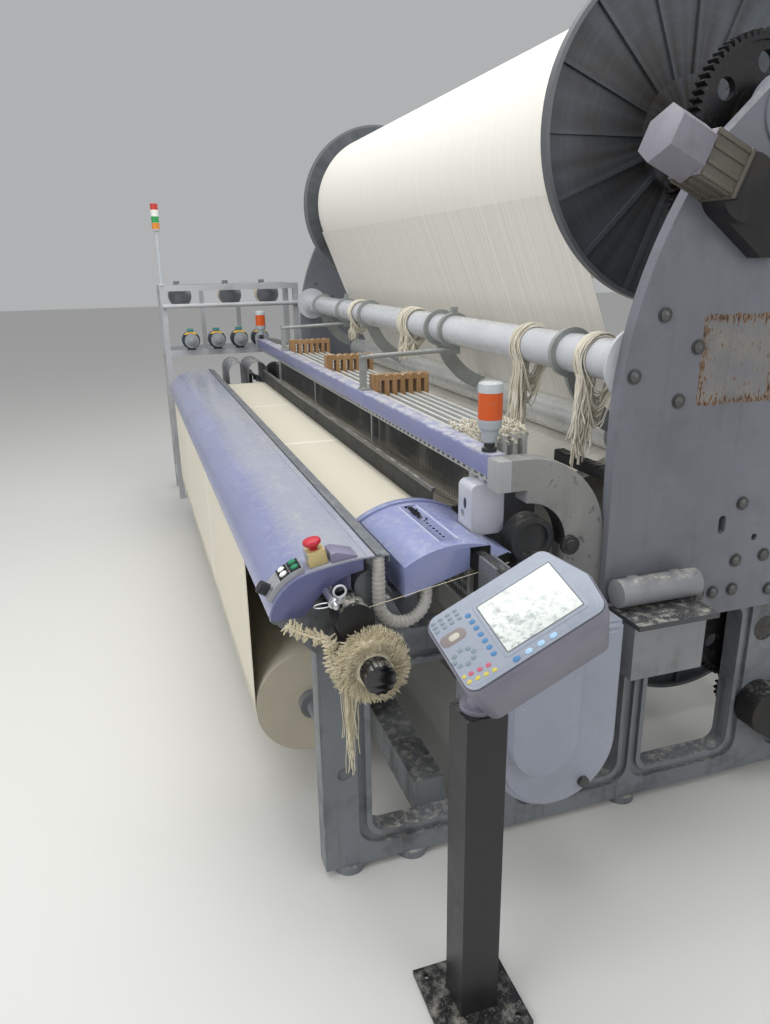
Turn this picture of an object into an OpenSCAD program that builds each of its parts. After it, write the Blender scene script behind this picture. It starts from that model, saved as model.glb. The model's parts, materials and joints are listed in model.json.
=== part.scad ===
// Wide terry loom with rapier picking: X runs along the width, the cloth side faces -Y, Z is up.

/* [Frame] */
// Half width over the two side walls
side_x = 1785; // [1700:5:1900]
// Thickness of the tall side plates that carry the upper beam
plate_t = 36; // [28:1:44]
// Thickness of the cast side frames
frame_t = 60; // [48:2:70]
// Height of the side frames behind the breast
frame_h = 690; // [660:5:700]
// Height of the front uprights
front_h = 780; // [770:5:790]
// Height of the levelling feet
foot_h = 20; // [14:1:30]
// Radius of the tall plate's curved front edge
plate_r = 1090; // [1000:10:1200]
// Y of the tall plate's front edge
plate_y = -66; // [-70:1:-62]

/* [Upper warp beam] */
// Y of the upper beam's axis
beam_y = 360; // [350:5:370]
// Height of the upper beam's axis
beam_z = 1868; // [1850:2:1900]
// Radius of the upper beam's flanges
flange_r = 450; // [420:5:470]
// Half distance between the flanges of both beams
flange_x = 1395; // [1385:5:1405]
// Radius of the beam barrels
barrel_r = 100; // [80:5:130]
// Radius of the warp wound on the upper beam
warp_r = 380; // [300:5:400]
// Number of pressed ribs on a flange
flange_ribs = 16; // [10:1:20]
// Radius of the beam journals
journal_r = 40; // [32:1:50]

/* [Lower warp beam] */
// Y of the lower beam's axis
ground_y = 530; // [520:5:540]
// Height of the lower beam's axis
ground_z = 500; // [480:5:520]
// Radius of the lower beam's flanges
ground_flange_r = 380; // [340:5:400]
// Radius of the warp wound on the lower beam
ground_warp_r = 310; // [250:5:330]

/* [Let-off gears] */
// Gear module
gear_m = 6; // [5:0.5:6]
// Teeth of the beam gear
gear_teeth = 64; // [62:1:64]
// Teeth of the pinion
pinion_teeth = 18; // [17:1:20]
// Face width of the gears
gear_w = 36; // [24:2:48]
// Play between tooth flanks
gear_play = 0.5; // [0.3:0.1:0.8]

/* [Cross tube and warp rolls] */
// Y of the big cross tube
tube_y = 11; // [5:1:20]
// Height of the big cross tube
tube_z = 1301; // [1290:1:1310]
// Radius of the big cross tube
tube_r = 54; // [48:1:58]
// Wall of the big cross tube
tube_wall = 6; // [4:1:10]
// Y of the whip roll
whip_y = 220; // [210:5:230]
// Height of the whip roll
whip_z = 1040; // [1030:5:1050]
// Radius of the whip roll
whip_r = 55; // [45:1:60]
// Y of the back roll
back_y = 430; // [420:5:440]
// Height of the back roll
back_z = 930; // [920:5:940]
// Radius of the back roll
back_r = 60; // [50:1:66]
// Radius of the roll journals
roll_journal_r = 20; // [16:1:25]

/* [Harness] */
// Number of heald frames in a row is six: the pitch from one to the next
heald_pitch = 32; // [30:1:34]
// Thickness of a heald frame
heald_t = 12; // [9:1:14]
// Y of the first frame's front face
heald_y = -290; // [-292:1:-286]
// Height of the frames' top edge in the middle of their stroke
heald_top = 1080; // [1074:1:1084]
// Full height of a heald frame
heald_h = 600; // [560:5:620]
// Height of a frame's rails
heald_rail = 80; // [60:2:90]
// Half width of the heald frames
heald_x = 1440; // [1430:2:1450]
// Stroke of a frame up and down from the middle
heald_stroke = 45; // [30:1:50]
// Front face of the harness beam
harness_y = -370; // [-376:1:-366]
// Underside of the harness beam
harness_z = 1044; // [1040:1:1048]
// Height of the harness beam
harness_h = 53; // [46:1:58]
// Depth of the harness beam
harness_d = 48; // [40:1:52]

/* [Sley and reed] */
// Front face of the reed, where the cloth is beaten up
reed_y = -397; // [-400:1:-394]
// Thickness of the reed
reed_t = 12; // [8:1:14]
// Height of the reed's lower edge
reed_z = 846; // [844:1:848]
// Height of the reed
reed_h = 90; // [80:1:94]
// Half width of the reed
reed_x = 1400; // [1390:1:1402]
// Y of the sley shaft
sley_y = -330; // [-336:1:-324]
// Height of the sley shaft
sley_z = 380; // [370:5:390]
// Radius of the sley shaft
sley_r = 30; // [24:1:34]

/* [Cloth side] */
// Half width of the cloth
cloth_x = 1380; // [1340:5:1385]
// Thickness of the cloth
cloth_t = 1.6; // [1:0.1:2.4]
// Radius of the breast bar
breast_r = 40; // [34:1:44]
// Radius of the take-up roll
takeup_r = 70; // [60:1:74]
// Height of the take-up roll
takeup_z = 660; // [650:5:680]
// Radius of the guide roll
guide_r = 20; // [16:1:22]
// Height of the guide roll
guide_z = 775; // [770:1:780]
// Y of the cloth roll
roll_y = -770; // [-775:1:-765]
// Height of the cloth roll
roll_z = 310; // [300:5:320]
// Radius of the wound cloth
roll_r = 165; // [150:1:168]

/* [Front cover] */
// Y of the cover's foremost point
cover_y = -945; // [-948:1:-943]
// Height of the cover's rear edge
cover_z = 910; // [908:1:914]
// Nose radius of the cover
cover_nose = 125; // [118:1:132]
// Radius of the cover's flat back
cover_back = 620; // [600:5:660]
// Wall of the cover
cover_t = 4; // [3:0.5:5]
// Width of the control strip
panel_w = 62; // [54:1:66]
// Height of the control strip over the cover
panel_t = 14; // [10:1:18]

/* [Operator console] */
// X of the console post
post_x = 2193; // [2185:1:2200]
// Y of the console post
post_y = -615; // [-620:1:-608]
// Side of the square post
post_w = 84; // [76:1:88]
// Height of the post
post_h = 736; // [696:5:736]
// Width of the console
console_w = 286; // [266:2:306]
// Height of the console's face
console_h = 180; // [172:1:188]
// Depth of the console's housing
console_d = 144; // [136:1:152]

/* [Feeder stand] */
// X of the stand's outer side, left of the loom
stand_x = -2370; // [-2375:1:-2340]
// Width of the stand
stand_w = 380; // [340:10:420]
// Height of the stand's top rail
stand_h = 1429; // [1400:1:1450]
// Side of the stand's square tube
stand_tube = 36; // [30:2:40]

/* [Hidden] */
$fn = 96;

// Gap between pieces that touch in use, and play of a shaft in its bearing
gap = 0.3;
run = 0.05;
cut = 1;

// Planes along X: outer and inner faces of the plates and frames
plate_in = side_x - plate_t;
frame_in = plate_in - frame_t;

// Side frame outline: front and rear edges, floor rail and window places
frame_y0 = -830;
frame_y1 = 930;
rail_h = 90;
upright_y = -640;
windows = [[-700, -410], [-250, 50], [130, 440], [620, 840]];
window_z = [foot_h + rail_h, frame_h - 100];

// Tall plate: foot on the frame, start of the curved edge, rear corners
plate_z = 600;
arc_z = 1150;
arc_y = plate_y + plate_r;
boss_r = 95;
rear_low = [800, 700];
rear_mid = [700, 1300];
rear_top = [620, 1750];
front_top_z = 1800;
front_top = [arc_y - sqrt(plate_r * plate_r - pow(front_top_z - arc_z, 2)), front_top_z];

// Cloth side
breast_y = -690;
breast_z = front_h + breast_r;
table_top = breast_z + breast_r;
table_y0 = -648;
table_y1 = -465;
table_t = 20;
takeup_y = -770;
guide_y = roll_y - roll_r + guide_r;
cloth_z = table_top + gap;

// Sley
sley_top = reed_z;
sley_y0 = -455;
sley_y1 = -366;
sley_half = 1415;

// Cover section: centres of its two arcs and their joint
cover_y1 = -690;
back_c = [cover_y1, cover_z - cover_back];
nose_y = cover_y + cover_nose;
cover_phi = asin((cover_y1 - nose_y) / (cover_back - cover_nose));
nose_c = [nose_y, back_c[1] + (cover_back - cover_nose) * cos(cover_phi)];
cover_z0 = 795;

// Gears
gear_rp = gear_m * gear_teeth / 2;
pinion_rp = gear_m * pinion_teeth / 2;
gear_dist = gear_rp + pinion_rp;
gear_x = 1640;
pile_pinion_a = 224;
ground_pinion_a = 270;
pinion_bore_r = 16;

// Harness beam and arch
harness_top = harness_z + harness_h;
arch_c = [-290, 870];
arch_r = plate_y - gap - arch_c[0];
arch_in = 112;
arch_x0 = 1702;
harness_x = arch_x0 - gap;
arch_x1 = 1762;

// Rapiers
rapier_y = -420;
rapier_z = 879;
rapier_rest = 1405;
tape_end = 1935;
tape_w = 24;

// A point of the side view becomes a point of the plane across X
module along_x(x0, x1) {
    translate([x0, 0, 0]) rotate([90, 0, 90]) linear_extrude(x1 - x0) children();
}
module rod_x(r, x0, x1, y, z) {
    translate([x0, y, z]) rotate([0, 90, 0]) cylinder(r = r, h = x1 - x0);
}
module block(x0, x1, y0, y1, z0, z1) {
    translate([x0, y0, z0]) cube([x1 - x0, y1 - y0, z1 - z0]);
}
module both() {
    children();
    mirror([1, 0, 0]) children();
}
module at2(p) {
    translate([p[0], p[1]]) children();
}
// Rectangle between two corners with round corners
module round_rect(p, q, r) {
    at2([p[0] + r, p[1]]) square([q[0] - p[0] - 2 * r, q[1] - p[1]]);
    at2([p[0], p[1] + r]) square([q[0] - p[0], q[1] - p[1] - 2 * r]);
    for (y = [p[0] + r, q[0] - r])
        for (z = [p[1] + r, q[1] - r])
            at2([y, z]) circle(r);
}
function polar(r, a) = r * [cos(a), sin(a)];
// Fan of points that covers the sector from angle a0 to a1
function fan(r, a0, a1) = [[0, 0], for (i = [0:4]) polar(r, a0 + (a1 - a0) * i / 4)];
// Curved strip of inner radius r and thickness t
module arc_strip(r, t, a0, a1) {
    intersection() {
        difference() {
            circle(r + t);
            circle(r);
        }
        polygon(fan(2 * (r + t), a0, a1));
    }
}
// Belt path over rollers [y, z, e]: e is the near side's radius, or minus the far side's when clockwise
function positive(w) = w < 0 ? w + 360 : w;
function belt_angle(a, b) = let (dy = b[0] - a[0], dz = b[1] - a[1])
    positive(atan2(dz, dy) + asin((a[2] - b[2]) / norm([dy, dz])));
function belt_point(c, angle, e) = [c[0] + e * sin(angle), c[1] - e * cos(angle)];
// One side of a strip, at distance t from its near side; it turns on roller i from w[i] to w[i + 1]
bend_steps = 24;
function strip_side(rollers, w, t) = [for (i = [0:len(rollers) - 1]) for (k = [0:bend_steps])
    belt_point(rollers[i], w[i] + (w[i + 1] - w[i]) * k / bend_steps, rollers[i][2] + t)];
function reversed(points) = [for (i = [len(points) - 1:-1:0]) points[i]];
// Strip of thickness t from start to end, each given as the two points of its near and far side
module strip2d(rollers, w, t, start, end) {
    polygon(concat([start[0]], strip_side(rollers, w, 0), end,
        reversed(strip_side(rollers, w, t)), [start[1]]));
}
function tangent_point(p, c, r, side) = let (d = c - p, l = norm(d))
    p + polar(sqrt(l * l - r * r), atan2(d[1], d[0]) + side * asin(r / l));

// Involute gear outline
function inv(a) = tan(a) * 180 / PI - a;
function half_tooth(r, rp, rb, play) = (PI * gear_m / 2 - play / 2) / (2 * rp) * 180 / PI + inv(20)
    - (r > rb ? inv(acos(rb / r)) : 0);
module gear2d(teeth, phase) {
    rp = gear_m * teeth / 2;
    rb = rp * cos(20);
    r0 = rp - 1.25 * gear_m;
    radii = [r0, max(rb, r0 + 1), (max(rb, r0) + rp) / 2, rp, rp + gear_m / 2, rp + gear_m - 0.2];
    polygon([for (k = [0:teeth - 1]) for (side = [-1, 1]) for (j = [0:5])
        let (r = radii[side < 0 ? j : 5 - j])
            polar(r, phase + 360 * k / teeth + side * half_tooth(r, rp, rb, gear_play))]);
}

// Side frame outline with its ear for the guide roll
module frame2d() {
    difference() {
        union() {
            polygon([[frame_y0, foot_h], [frame_y0, front_h], [upright_y, front_h],
                [upright_y + 50, frame_h], [frame_y1 - 60, frame_h], [frame_y1, frame_h - 60],
                [frame_y1, foot_h]]);
            at2([guide_y, guide_z]) circle(guide_r);
            at2([guide_y, guide_z - 24]) square([frame_y0 - guide_y + 20, 48]);
            polygon([[guide_y, guide_z - 24], [frame_y0, guide_z - 110], [frame_y0, guide_z - 24]]);
        }
        for (w = windows)
            round_rect([w[0], window_z[0]], [w[1], window_z[1]], 40);
    }
}
// One cast side frame: web, thicker rim round each window, feet and bearing bores
module side_frame() {
    difference() {
        union() {
            along_x(frame_in, plate_in) frame2d();
            for (y = [frame_y0 + 70, upright_y + 60, 90, frame_y1 - 80])
                translate([frame_in + frame_t / 2, y, 0]) cylinder(r = 42, h = foot_h + 1);
        }
        for (w = windows)
            along_x(plate_in - 12, plate_in + cut) difference() {
                round_rect([w[0] - 36, window_z[0] - 36], [w[1] + 36, window_z[1] + 36], 60);
                round_rect([w[0] - 14, window_z[0] - 14], [w[1] + 14, window_z[1] + 14], 48);
            }
        rod_x(guide_r / 2 + run, frame_in - cut, plate_in + cut, guide_y, guide_z);
        rod_x(roll_journal_r + run, frame_in - cut, plate_in + cut, takeup_y, takeup_z);
        rod_x(roll_journal_r + run, frame_in - cut, plate_in + cut, roll_y, roll_z);
        rod_x(sley_r + run, frame_in - cut, plate_in + cut, sley_y, sley_z);
        rod_x(journal_r + run, frame_in - cut, plate_in + cut, ground_y, ground_z);
        rod_x(pinion_bore_r + run, frame_in - cut, plate_in + cut, ground_pinion_c[0], ground_pinion_c[1]);
    }
}
function pinion_at(a) = polar(gear_dist, a);
module side_frames() {
    color("#8b8f93") both() side_frame();
}
// Channels between the side frames, [front, rear, bottom, top], with the open side to the rear
channels = [[-620, -550, front_h - 150, front_h - 12], [-560, -470, rail_h, rail_h + 100],
    [-40, 40, frame_h - 130, frame_h - 40]];
channel_t = 8;
module channel(y0, y1, z0, z1) {
    difference() {
        block(-frame_in, frame_in, y0, y1, z0, z1);
        block(-frame_in + channel_t, frame_in - channel_t, y0 + channel_t, y1 + cut,
            z0 + channel_t, z1 - channel_t);
    }
}
module cross_beams() {
    color("#84888c") {
        for (g = channels)
            channel(g[0], g[1], g[2], g[3]);
        rod_x(30, -frame_in, frame_in, frame_y1 - 50, rail_h);
        rod_x(breast_r, -plate_in, plate_in, breast_y, breast_z);
    }
}
// Tall plate outline: straight foot, curved front edge and the boss at the beam axis
module plate2d() {
    beam = [beam_y, beam_z];
    polygon([[plate_y, plate_z], [plate_y, arc_z], [rear_mid[0], arc_z], rear_low, [rear_low[0], plate_z]]);
    intersection() {
        at2([arc_y, arc_z]) circle(plate_r, $fn = 360);
        polygon([[plate_y, arc_z - cut], [plate_y, front_top_z], front_top,
            tangent_point(front_top, beam, boss_r, 1), beam, tangent_point(rear_top, beam, boss_r, -1),
            rear_top, rear_mid, [rear_mid[0], arc_z - cut]]);
    }
    at2(beam) circle(boss_r);
}
plate_hole = [405, 815, 10];
plate_slot = [[278, 838], [302, 890]];
module beam_plate() {
    difference() {
        union() {
            along_x(plate_in, side_x) plate2d();
            rod_x(boss_r, plate_in - 20, side_x + 6, beam_y, beam_z);
            rod_x(44, plate_in - 40, plate_in + cut, back_y, back_z);
        }
        rod_x(journal_r + run, plate_in - 60, side_x + 60, beam_y, beam_z);
        rod_x(roll_journal_r + run, plate_in - 60, plate_in + 4, back_y, back_z);
        rod_x(pinion_bore_r + run, plate_in - cut, side_x + cut, pile_pinion_c[0], pile_pinion_c[1]);
        rod_x(plate_hole[2], plate_in - cut, side_x + cut, plate_hole[0], plate_hole[1]);
        along_x(plate_in - cut, side_x + cut) round_rect(plate_slot[0], plate_slot[1], 11);
        for (b = bolts)
            rod_x(bolt_r + 0.2, plate_in - cut, side_x + cut, b[0], b[1]);
    }
}
module beam_plates() {
    color("#8d9095") both() beam_plate();
}
// Dome-headed bolts of the tall plate, [y, z]
bolt_r = 9;
bolts = [[44, 1421], [149, 1341], [-28, 1279], [107, 1211], [348, 919], [350, 754], [445, 758], [237, 668],
    [285, 668], [350, 668], [480, 650], [600, 650], [720, 650]];
module plate_bolts() {
    head_r = 15;
    color("#6f7275") both() for (b = bolts) translate([side_x, b[0], b[1]]) rotate([0, 90, 0]) {
        cylinder(r = 19, h = 3);
        intersection() {
            translate([0, 0, 3]) cylinder(r = head_r, h = 11);
            translate([0, 0, -6]) sphere(20);
        }
        translate([0, 0, -plate_t]) cylinder(r = bolt_r, h = plate_t + 1);
    }
}
module cross_tube() {
    flange = 95;
    flange_t = 12;
    color("#c9ccd0") difference() {
        union() {
            rod_x(tube_r, -plate_in, plate_in, tube_y, tube_z);
            both() rod_x(flange, plate_in - flange_t, plate_in, tube_y, tube_z);
            both() rod_x(tube_r + 10, plate_in - 2 * flange_t, plate_in - flange_t + cut, tube_y, tube_z);
        }
        rod_x(tube_r - tube_wall, -side_x, side_x, tube_y, tube_z);
    }
}

// Arms that carry the whip roll from the tube, and the clamps of the comb holders
arm_x = [465, 1436];
arm_t = 16;
holder_x = [-900, 600];
rod_r = 9;
rod_front = [harness_y + 8, 1218];
foot_y = [harness_y + 4, harness_y + 40];
module tube_brackets() {
    color("#9ea2a6") {
        for (x = arm_x) both() translate([x - arm_t / 2, 0, 0]) whip_arm(x == max(arm_x));
        for (x = holder_x) translate([x, 0, 0]) comb_holder();
    }
}
module whip_arm(bearing) {
    arm_c = [whip_y + 60, tube_z + 30];
    arm_r = 300;
    along_x(0, arm_t) difference() {
        union() {
            at2([tube_y, tube_z]) circle(tube_r + 16);
            intersection() {
                difference() {
                    at2(arm_c) circle(arm_r);
                    at2(arm_c) circle(arm_r - 55);
                }
                polygon([[tube_y - 60, tube_z], [tube_y + 20, whip_z - 40], [whip_y, whip_z - 40],
                    [whip_y, tube_z]]);
            }
            if (bearing) at2([whip_y, whip_z]) circle(roll_journal_r + 18);
        }
        at2([tube_y, tube_z]) circle(tube_r + run);
        at2([whip_y, whip_z]) circle(bearing ? roll_journal_r + run : whip_r + gap);
    }
}
module comb_holder() {
    wide = 24;
    reach = norm([tube_y - rod_front[0], tube_z - 56 - rod_front[1]]);
    along_x(-wide / 2, wide / 2) difference() {
        union() {
            at2([tube_y, tube_z]) circle(tube_r + 12);
            at2([tube_y - 22, tube_z - tube_r - 34]) square([44, 40]);
            at2([tube_y - 10, tube_z + tube_r]) square([20, 32]);
        }
        at2([tube_y, tube_z]) circle(tube_r + run);
    }
    translate([0, rod_front[0], rod_front[1]])
        rotate([-90 + atan2(tube_z - tube_r - 18 - rod_front[1], tube_y - rod_front[0]), 0, 0])
            cylinder(r = rod_r, h = reach);
    block(-5, 5, foot_y[0], foot_y[1] - 10, harness_top + 8, rod_front[1] + 14);
    block(-24, 24, foot_y[0], foot_y[1], harness_top, harness_top + 9);
}

// Wooden comb blocks over the heald frames
comb_x = [-900, -100, 600];
comb_w = 46;
comb_slot_z = heald_top + heald_stroke + 6;
comb_y1 = heald_y + 5 * heald_pitch + heald_t + 18;
module wooden_combs() {
    color("#b98a63") for (x = comb_x) difference() {
        block(x - comb_w / 2, x + comb_w / 2, harness_y + harness_d + gap, comb_y1,
            heald_top - 50, comb_slot_z + 22);
        for (i = [0:5]) {
            y = heald_y + i * heald_pitch;
            block(x - comb_w, x + comb_w, y - 2, y + heald_t + 2, heald_top - 60, comb_slot_z);
            rod_x(9, x - comb_w, x + comb_w, y + heald_t + 10, comb_slot_z + 25);
        }
    }
}
// Hanks of yarn tied round the tube: [x, width, tail length]
hanks = [[-646, 50, 90], [140, 60, 110], [1200, 60, 260], [1560, 50, 250]];
module yarn_hanks() {
    color("#e9e4d6") for (h = hanks) {
        for (x = [h[0], h[0] + h[1] / 3])
            translate([x, tube_y, tube_z]) rotate([0, 90, 0]) rotate_extrude()
                translate([tube_r + 10, 0]) circle(9.6);
        translate([h[0] + h[1] / 6, tube_y - tube_r - 14, tube_z - h[2]])
            cylinder(r1 = 20, r2 = 13, h = h[2]);
    }
}
module harness_beam() {
    slot_pitch = 36;
    strip = 14;
    wall = 4;
    color("#9a97c9") difference() {
        union() {
            block(-harness_x, harness_x, harness_y, harness_y + harness_d, harness_z, harness_top);
            block(-harness_x, harness_x, harness_y + 3, harness_y + 7, harness_z - strip, harness_z + 1);
        }
        block(-harness_x - cut, harness_x + cut, harness_y + wall, harness_y + harness_d - wall,
            harness_z + 10, harness_top - wall);
        for (x = [-harness_x + slot_pitch / 2 : slot_pitch : harness_x])
            block(x - 10, x + 10, harness_y - cut, harness_y + 10, harness_z - strip + 4, harness_z - 3);
    }
}
// Quarter-ring cover from the harness beam's end down to the frame, with hub and drum
module arch_cover() {
    hub = [-166, 861];
    drum_r = 60;
    drum_c = [arch_c[0] + 28, arch_c[1] + 10];
    color("#a9abb0") along_x(arch_x0, arch_x1) difference() {
        union() {
            intersection() {
                at2(arch_c) circle(arch_r);
                at2(arch_c) square(arch_r + cut);
            }
            at2([arch_c[0] + arch_in, frame_h]) square([arch_r - arch_in, arch_c[1] - frame_h + cut]);
            at2([harness_y, arch_c[1] + arch_in + 34])
                square([arch_c[0] - harness_y + cut, arch_r - arch_in - 34]);
        }
        at2(arch_c) circle(arch_in);
    }
    color("#26282b") {
        rod_x(25, arch_x1, arch_x1 + 12, hub[0], hub[1]);
        rod_x(15, arch_x1 + 11, arch_x1 + 17, hub[0], hub[1]);
        difference() {
            rod_x(drum_r, frame_in + 6, arch_x1 - 12, drum_c[0], drum_c[1]);
            rod_x(drum_r - 16, arch_x1 - 24, arch_x1, drum_c[0], drum_c[1]);
        }
        block(frame_in + 10, plate_in - 4, drum_c[0] - 40, drum_c[0] + 40,
            frame_h, drum_c[1] - drum_r + 24);
    }
}
module arch_covers() {
    both() arch_cover();
}

// Beacons on the harness beam and the lamp tower on the stand
beacon_x = [-1676, 1660];
beacon_r = 31;
module beacon() {
    color("#9fa1a4") cylinder(r = 20, h = 6);
    color("#b9babc") translate([0, 0, 5]) cylinder(r = beacon_r - 4, h = 78);
    color("#f07a1e") translate([0, 0, 82]) cylinder(r = beacon_r, h = 66);
    color("#f2f2f0") translate([0, 0, 147]) cylinder(r = beacon_r, h = 20);
    color("#f2f2f0") translate([0, 0, 166]) cylinder(r = beacon_r - 5, h = 6);
}
tower_z = 1770;
tower_colours = ["#e08a2a", "#2f9b53", "#f2f2f0", "#d8423a"];
module signal_lights() {
    for (x = beacon_x)
        translate([x, harness_y + harness_d / 2, harness_top]) beacon();
    translate([stand_x + stand_w - stand_tube / 2, stand_y[0] + stand_tube / 2, stand_h]) {
        color("#c4c6c8") cylinder(r = 12, h = tower_z - stand_h + 1);
        for (i = [0:3])
            color(tower_colours[i]) translate([0, 0, tower_z - stand_h + 38 * i]) cylinder(r = 24, h = 38);
    }
}

// Front cover: flat back arc and tight nose, with two grooves along the back
module cover_shape(inset) {
    intersection() {
        at2(back_c) circle(cover_back - inset, $fn = 720);
        polygon([back_c, [cover_y1, back_c[1] + 2 * cover_back],
            back_c + polar(2 * cover_back, 90 + cover_phi)]);
    }
    intersection() {
        at2(nose_c) circle(cover_nose - inset);
        polygon([nose_c, nose_c + polar(2 * cover_nose, 90 + cover_phi),
            nose_c + [-2 * cover_nose, 2 * cover_nose], nose_c + [-2 * cover_nose, 0]]);
    }
}
module front_cover() {
    groove_y = [cover_y1 - 22, cover_y1 - 48];
    color("#8f8fc4") along_x(-side_x, side_x) difference() {
        cover_shape(0);
        cover_shape(cover_t);
        at2([cover_y - cut, 0]) square([400, cover_z0]);
        at2(back_c) polygon([[0, 0], [-800, 0], [-800, 300],
            polar(0.9 * cover_back, 90 + cover_phi), [0, 0.9 * cover_back]]);
        for (y = groove_y)
            at2([y, cover_z - 1.6]) square([5, 4]);
    }
}
// End plates in the form of a crescent, and the brackets that stand on the frame
module cover_ends() {
    plate = 6;
    bracket_y = [frame_y0 + 44, frame_y0 + 92];
    color("#77769f") both() {
        along_x(side_x - plate, side_x) difference() {
            intersection() {
                cover_shape(cover_t + gap);
                at2([cover_y, cover_z0 - 12]) square([cover_y1 - cover_y - 27, 200]);
            }
            at2([-700, 700]) circle(178);
        }
        along_x(frame_in, plate_in) intersection() {
            cover_shape(cover_t + gap);
            at2([bracket_y[0], front_h]) square([bracket_y[1] - bracket_y[0], 200]);
        }
    }
}
module rear_strip() {
    lip = 14;
    color("#a7abad") along_x(-side_x + 4, side_x - 4) {
        at2([cover_y1 - 26, cover_z - cover_t - 3.6]) square([64, 3]);
        at2([cover_y1 + 35, cover_z - cover_t - 3.6 - lip]) square([3, lip + 1]);
        at2([cover_y1 + 6, cover_z - cover_t - 1]) square([12, 5]);
    }
}

// Controls on the cover's near end: [angle of the surface, radius, travel]
strip_x = [side_x - panel_w - 6, side_x - 6];
strip_mid = (strip_x[0] + strip_x[1]) / 2;
knob_a = 146;
stop_a = 124;
start_a = 112;
estop_y = cover_y + 128;
estop_a = 90 + asin((cover_y1 - estop_y) / cover_back);
estop_h = 34;
push_r = 9;
// Frame on the cover's nose: Z points out of the surface, X runs along the loom
module on_arc(c, r, a) {
    translate([strip_mid, c[0] + r * cos(a), c[1] + r * sin(a)]) rotate([a - 90, 0, 0]) children();
}
module on_nose(a) {
    on_arc(nose_c, cover_nose, a) children();
}
module on_back(a) {
    on_arc(back_c, cover_back, a) children();
}
button_x = [-15, 15];
module control_strip() {
    pocket = panel_t - 3;
    color("#8a8c90") difference() {
        along_x(strip_x[0], strip_x[1]) at2(nose_c)
            arc_strip(cover_nose + gap, panel_t, 90 + cover_phi, 152);
        for (a = [stop_a, start_a])
            for (x = button_x)
                on_nose(a) translate([x, 0, panel_t - pocket]) cylinder(r = push_r + gap, h = 40);
        on_nose(knob_a) translate([0, 0, panel_t - pocket]) cylinder(r = 5 + run, h = 40);
    }
    color("#c9b77e") difference() {
        on_back(estop_a) translate([-22, -22, gap + 0.1]) cube([44, 44, estop_h]);
        on_back(estop_a) translate([0, 0, 12]) cylinder(r = 9 + run, h = 60);
    }
    color("#8d84a0") along_x(strip_x[0], strip_x[1]) difference() {
        intersection() {
            cover_shape(-22);
            at2([estop_y + 26, 0]) square([62, 1000]);
            polygon([[estop_y + 26, cover_z - 60], [estop_y + 26, cover_z + 20],
                [estop_y + 88, cover_z + 3], [estop_y + 88, cover_z - 60]]);
        }
        cover_shape(-gap);
        at2(back_c) circle(cover_back - 60);
        polygon([back_c, [back_c[0], cover_z - 50], [back_c[0] - 300, cover_z - 90]]);
    }
}
module push_button(a, x) {
    on_nose(a) translate([x, 0, panel_t - 5]) cylinder(r = push_r, h = 11);
    on_nose(a) translate([x, 0, panel_t + 5]) cylinder(r = push_r - 1.2, h = 2);
}
module start_button() {
    color("#1f8f5a") push_button(start_a, button_x[1]);
}
module jog_button() {
    color("#1f8f5a") push_button(start_a, button_x[0]);
}
module stop_button() {
    color("#f1f1ee") push_button(stop_a, button_x[1]);
}
module estop_button() {
    color("#c8283a") on_back(estop_a) translate([0, 0, gap + estop_h]) {
        translate([0, 0, -14]) cylinder(r = 9, h = 26);
        translate([0, 0, 7]) rotate_extrude()
            polygon([[0, 0], [12, 0], [21, 8], [22, 12], [20, 17], [12, 20], [0, 21]]);
    }
}
module mode_knob() {
    color("#1c1d20") on_nose(knob_a) {
        translate([0, 0, panel_t - 8]) cylinder(r = 5, h = 12);
        translate([0, 0, panel_t + 1]) difference() {
            cylinder(r = 15, h = 22);
            for (k = [0:11])
                rotate(30 * k) translate([16.4, 0, 3]) cylinder(r = 2.4, h = 30);
        }
    }
}

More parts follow.
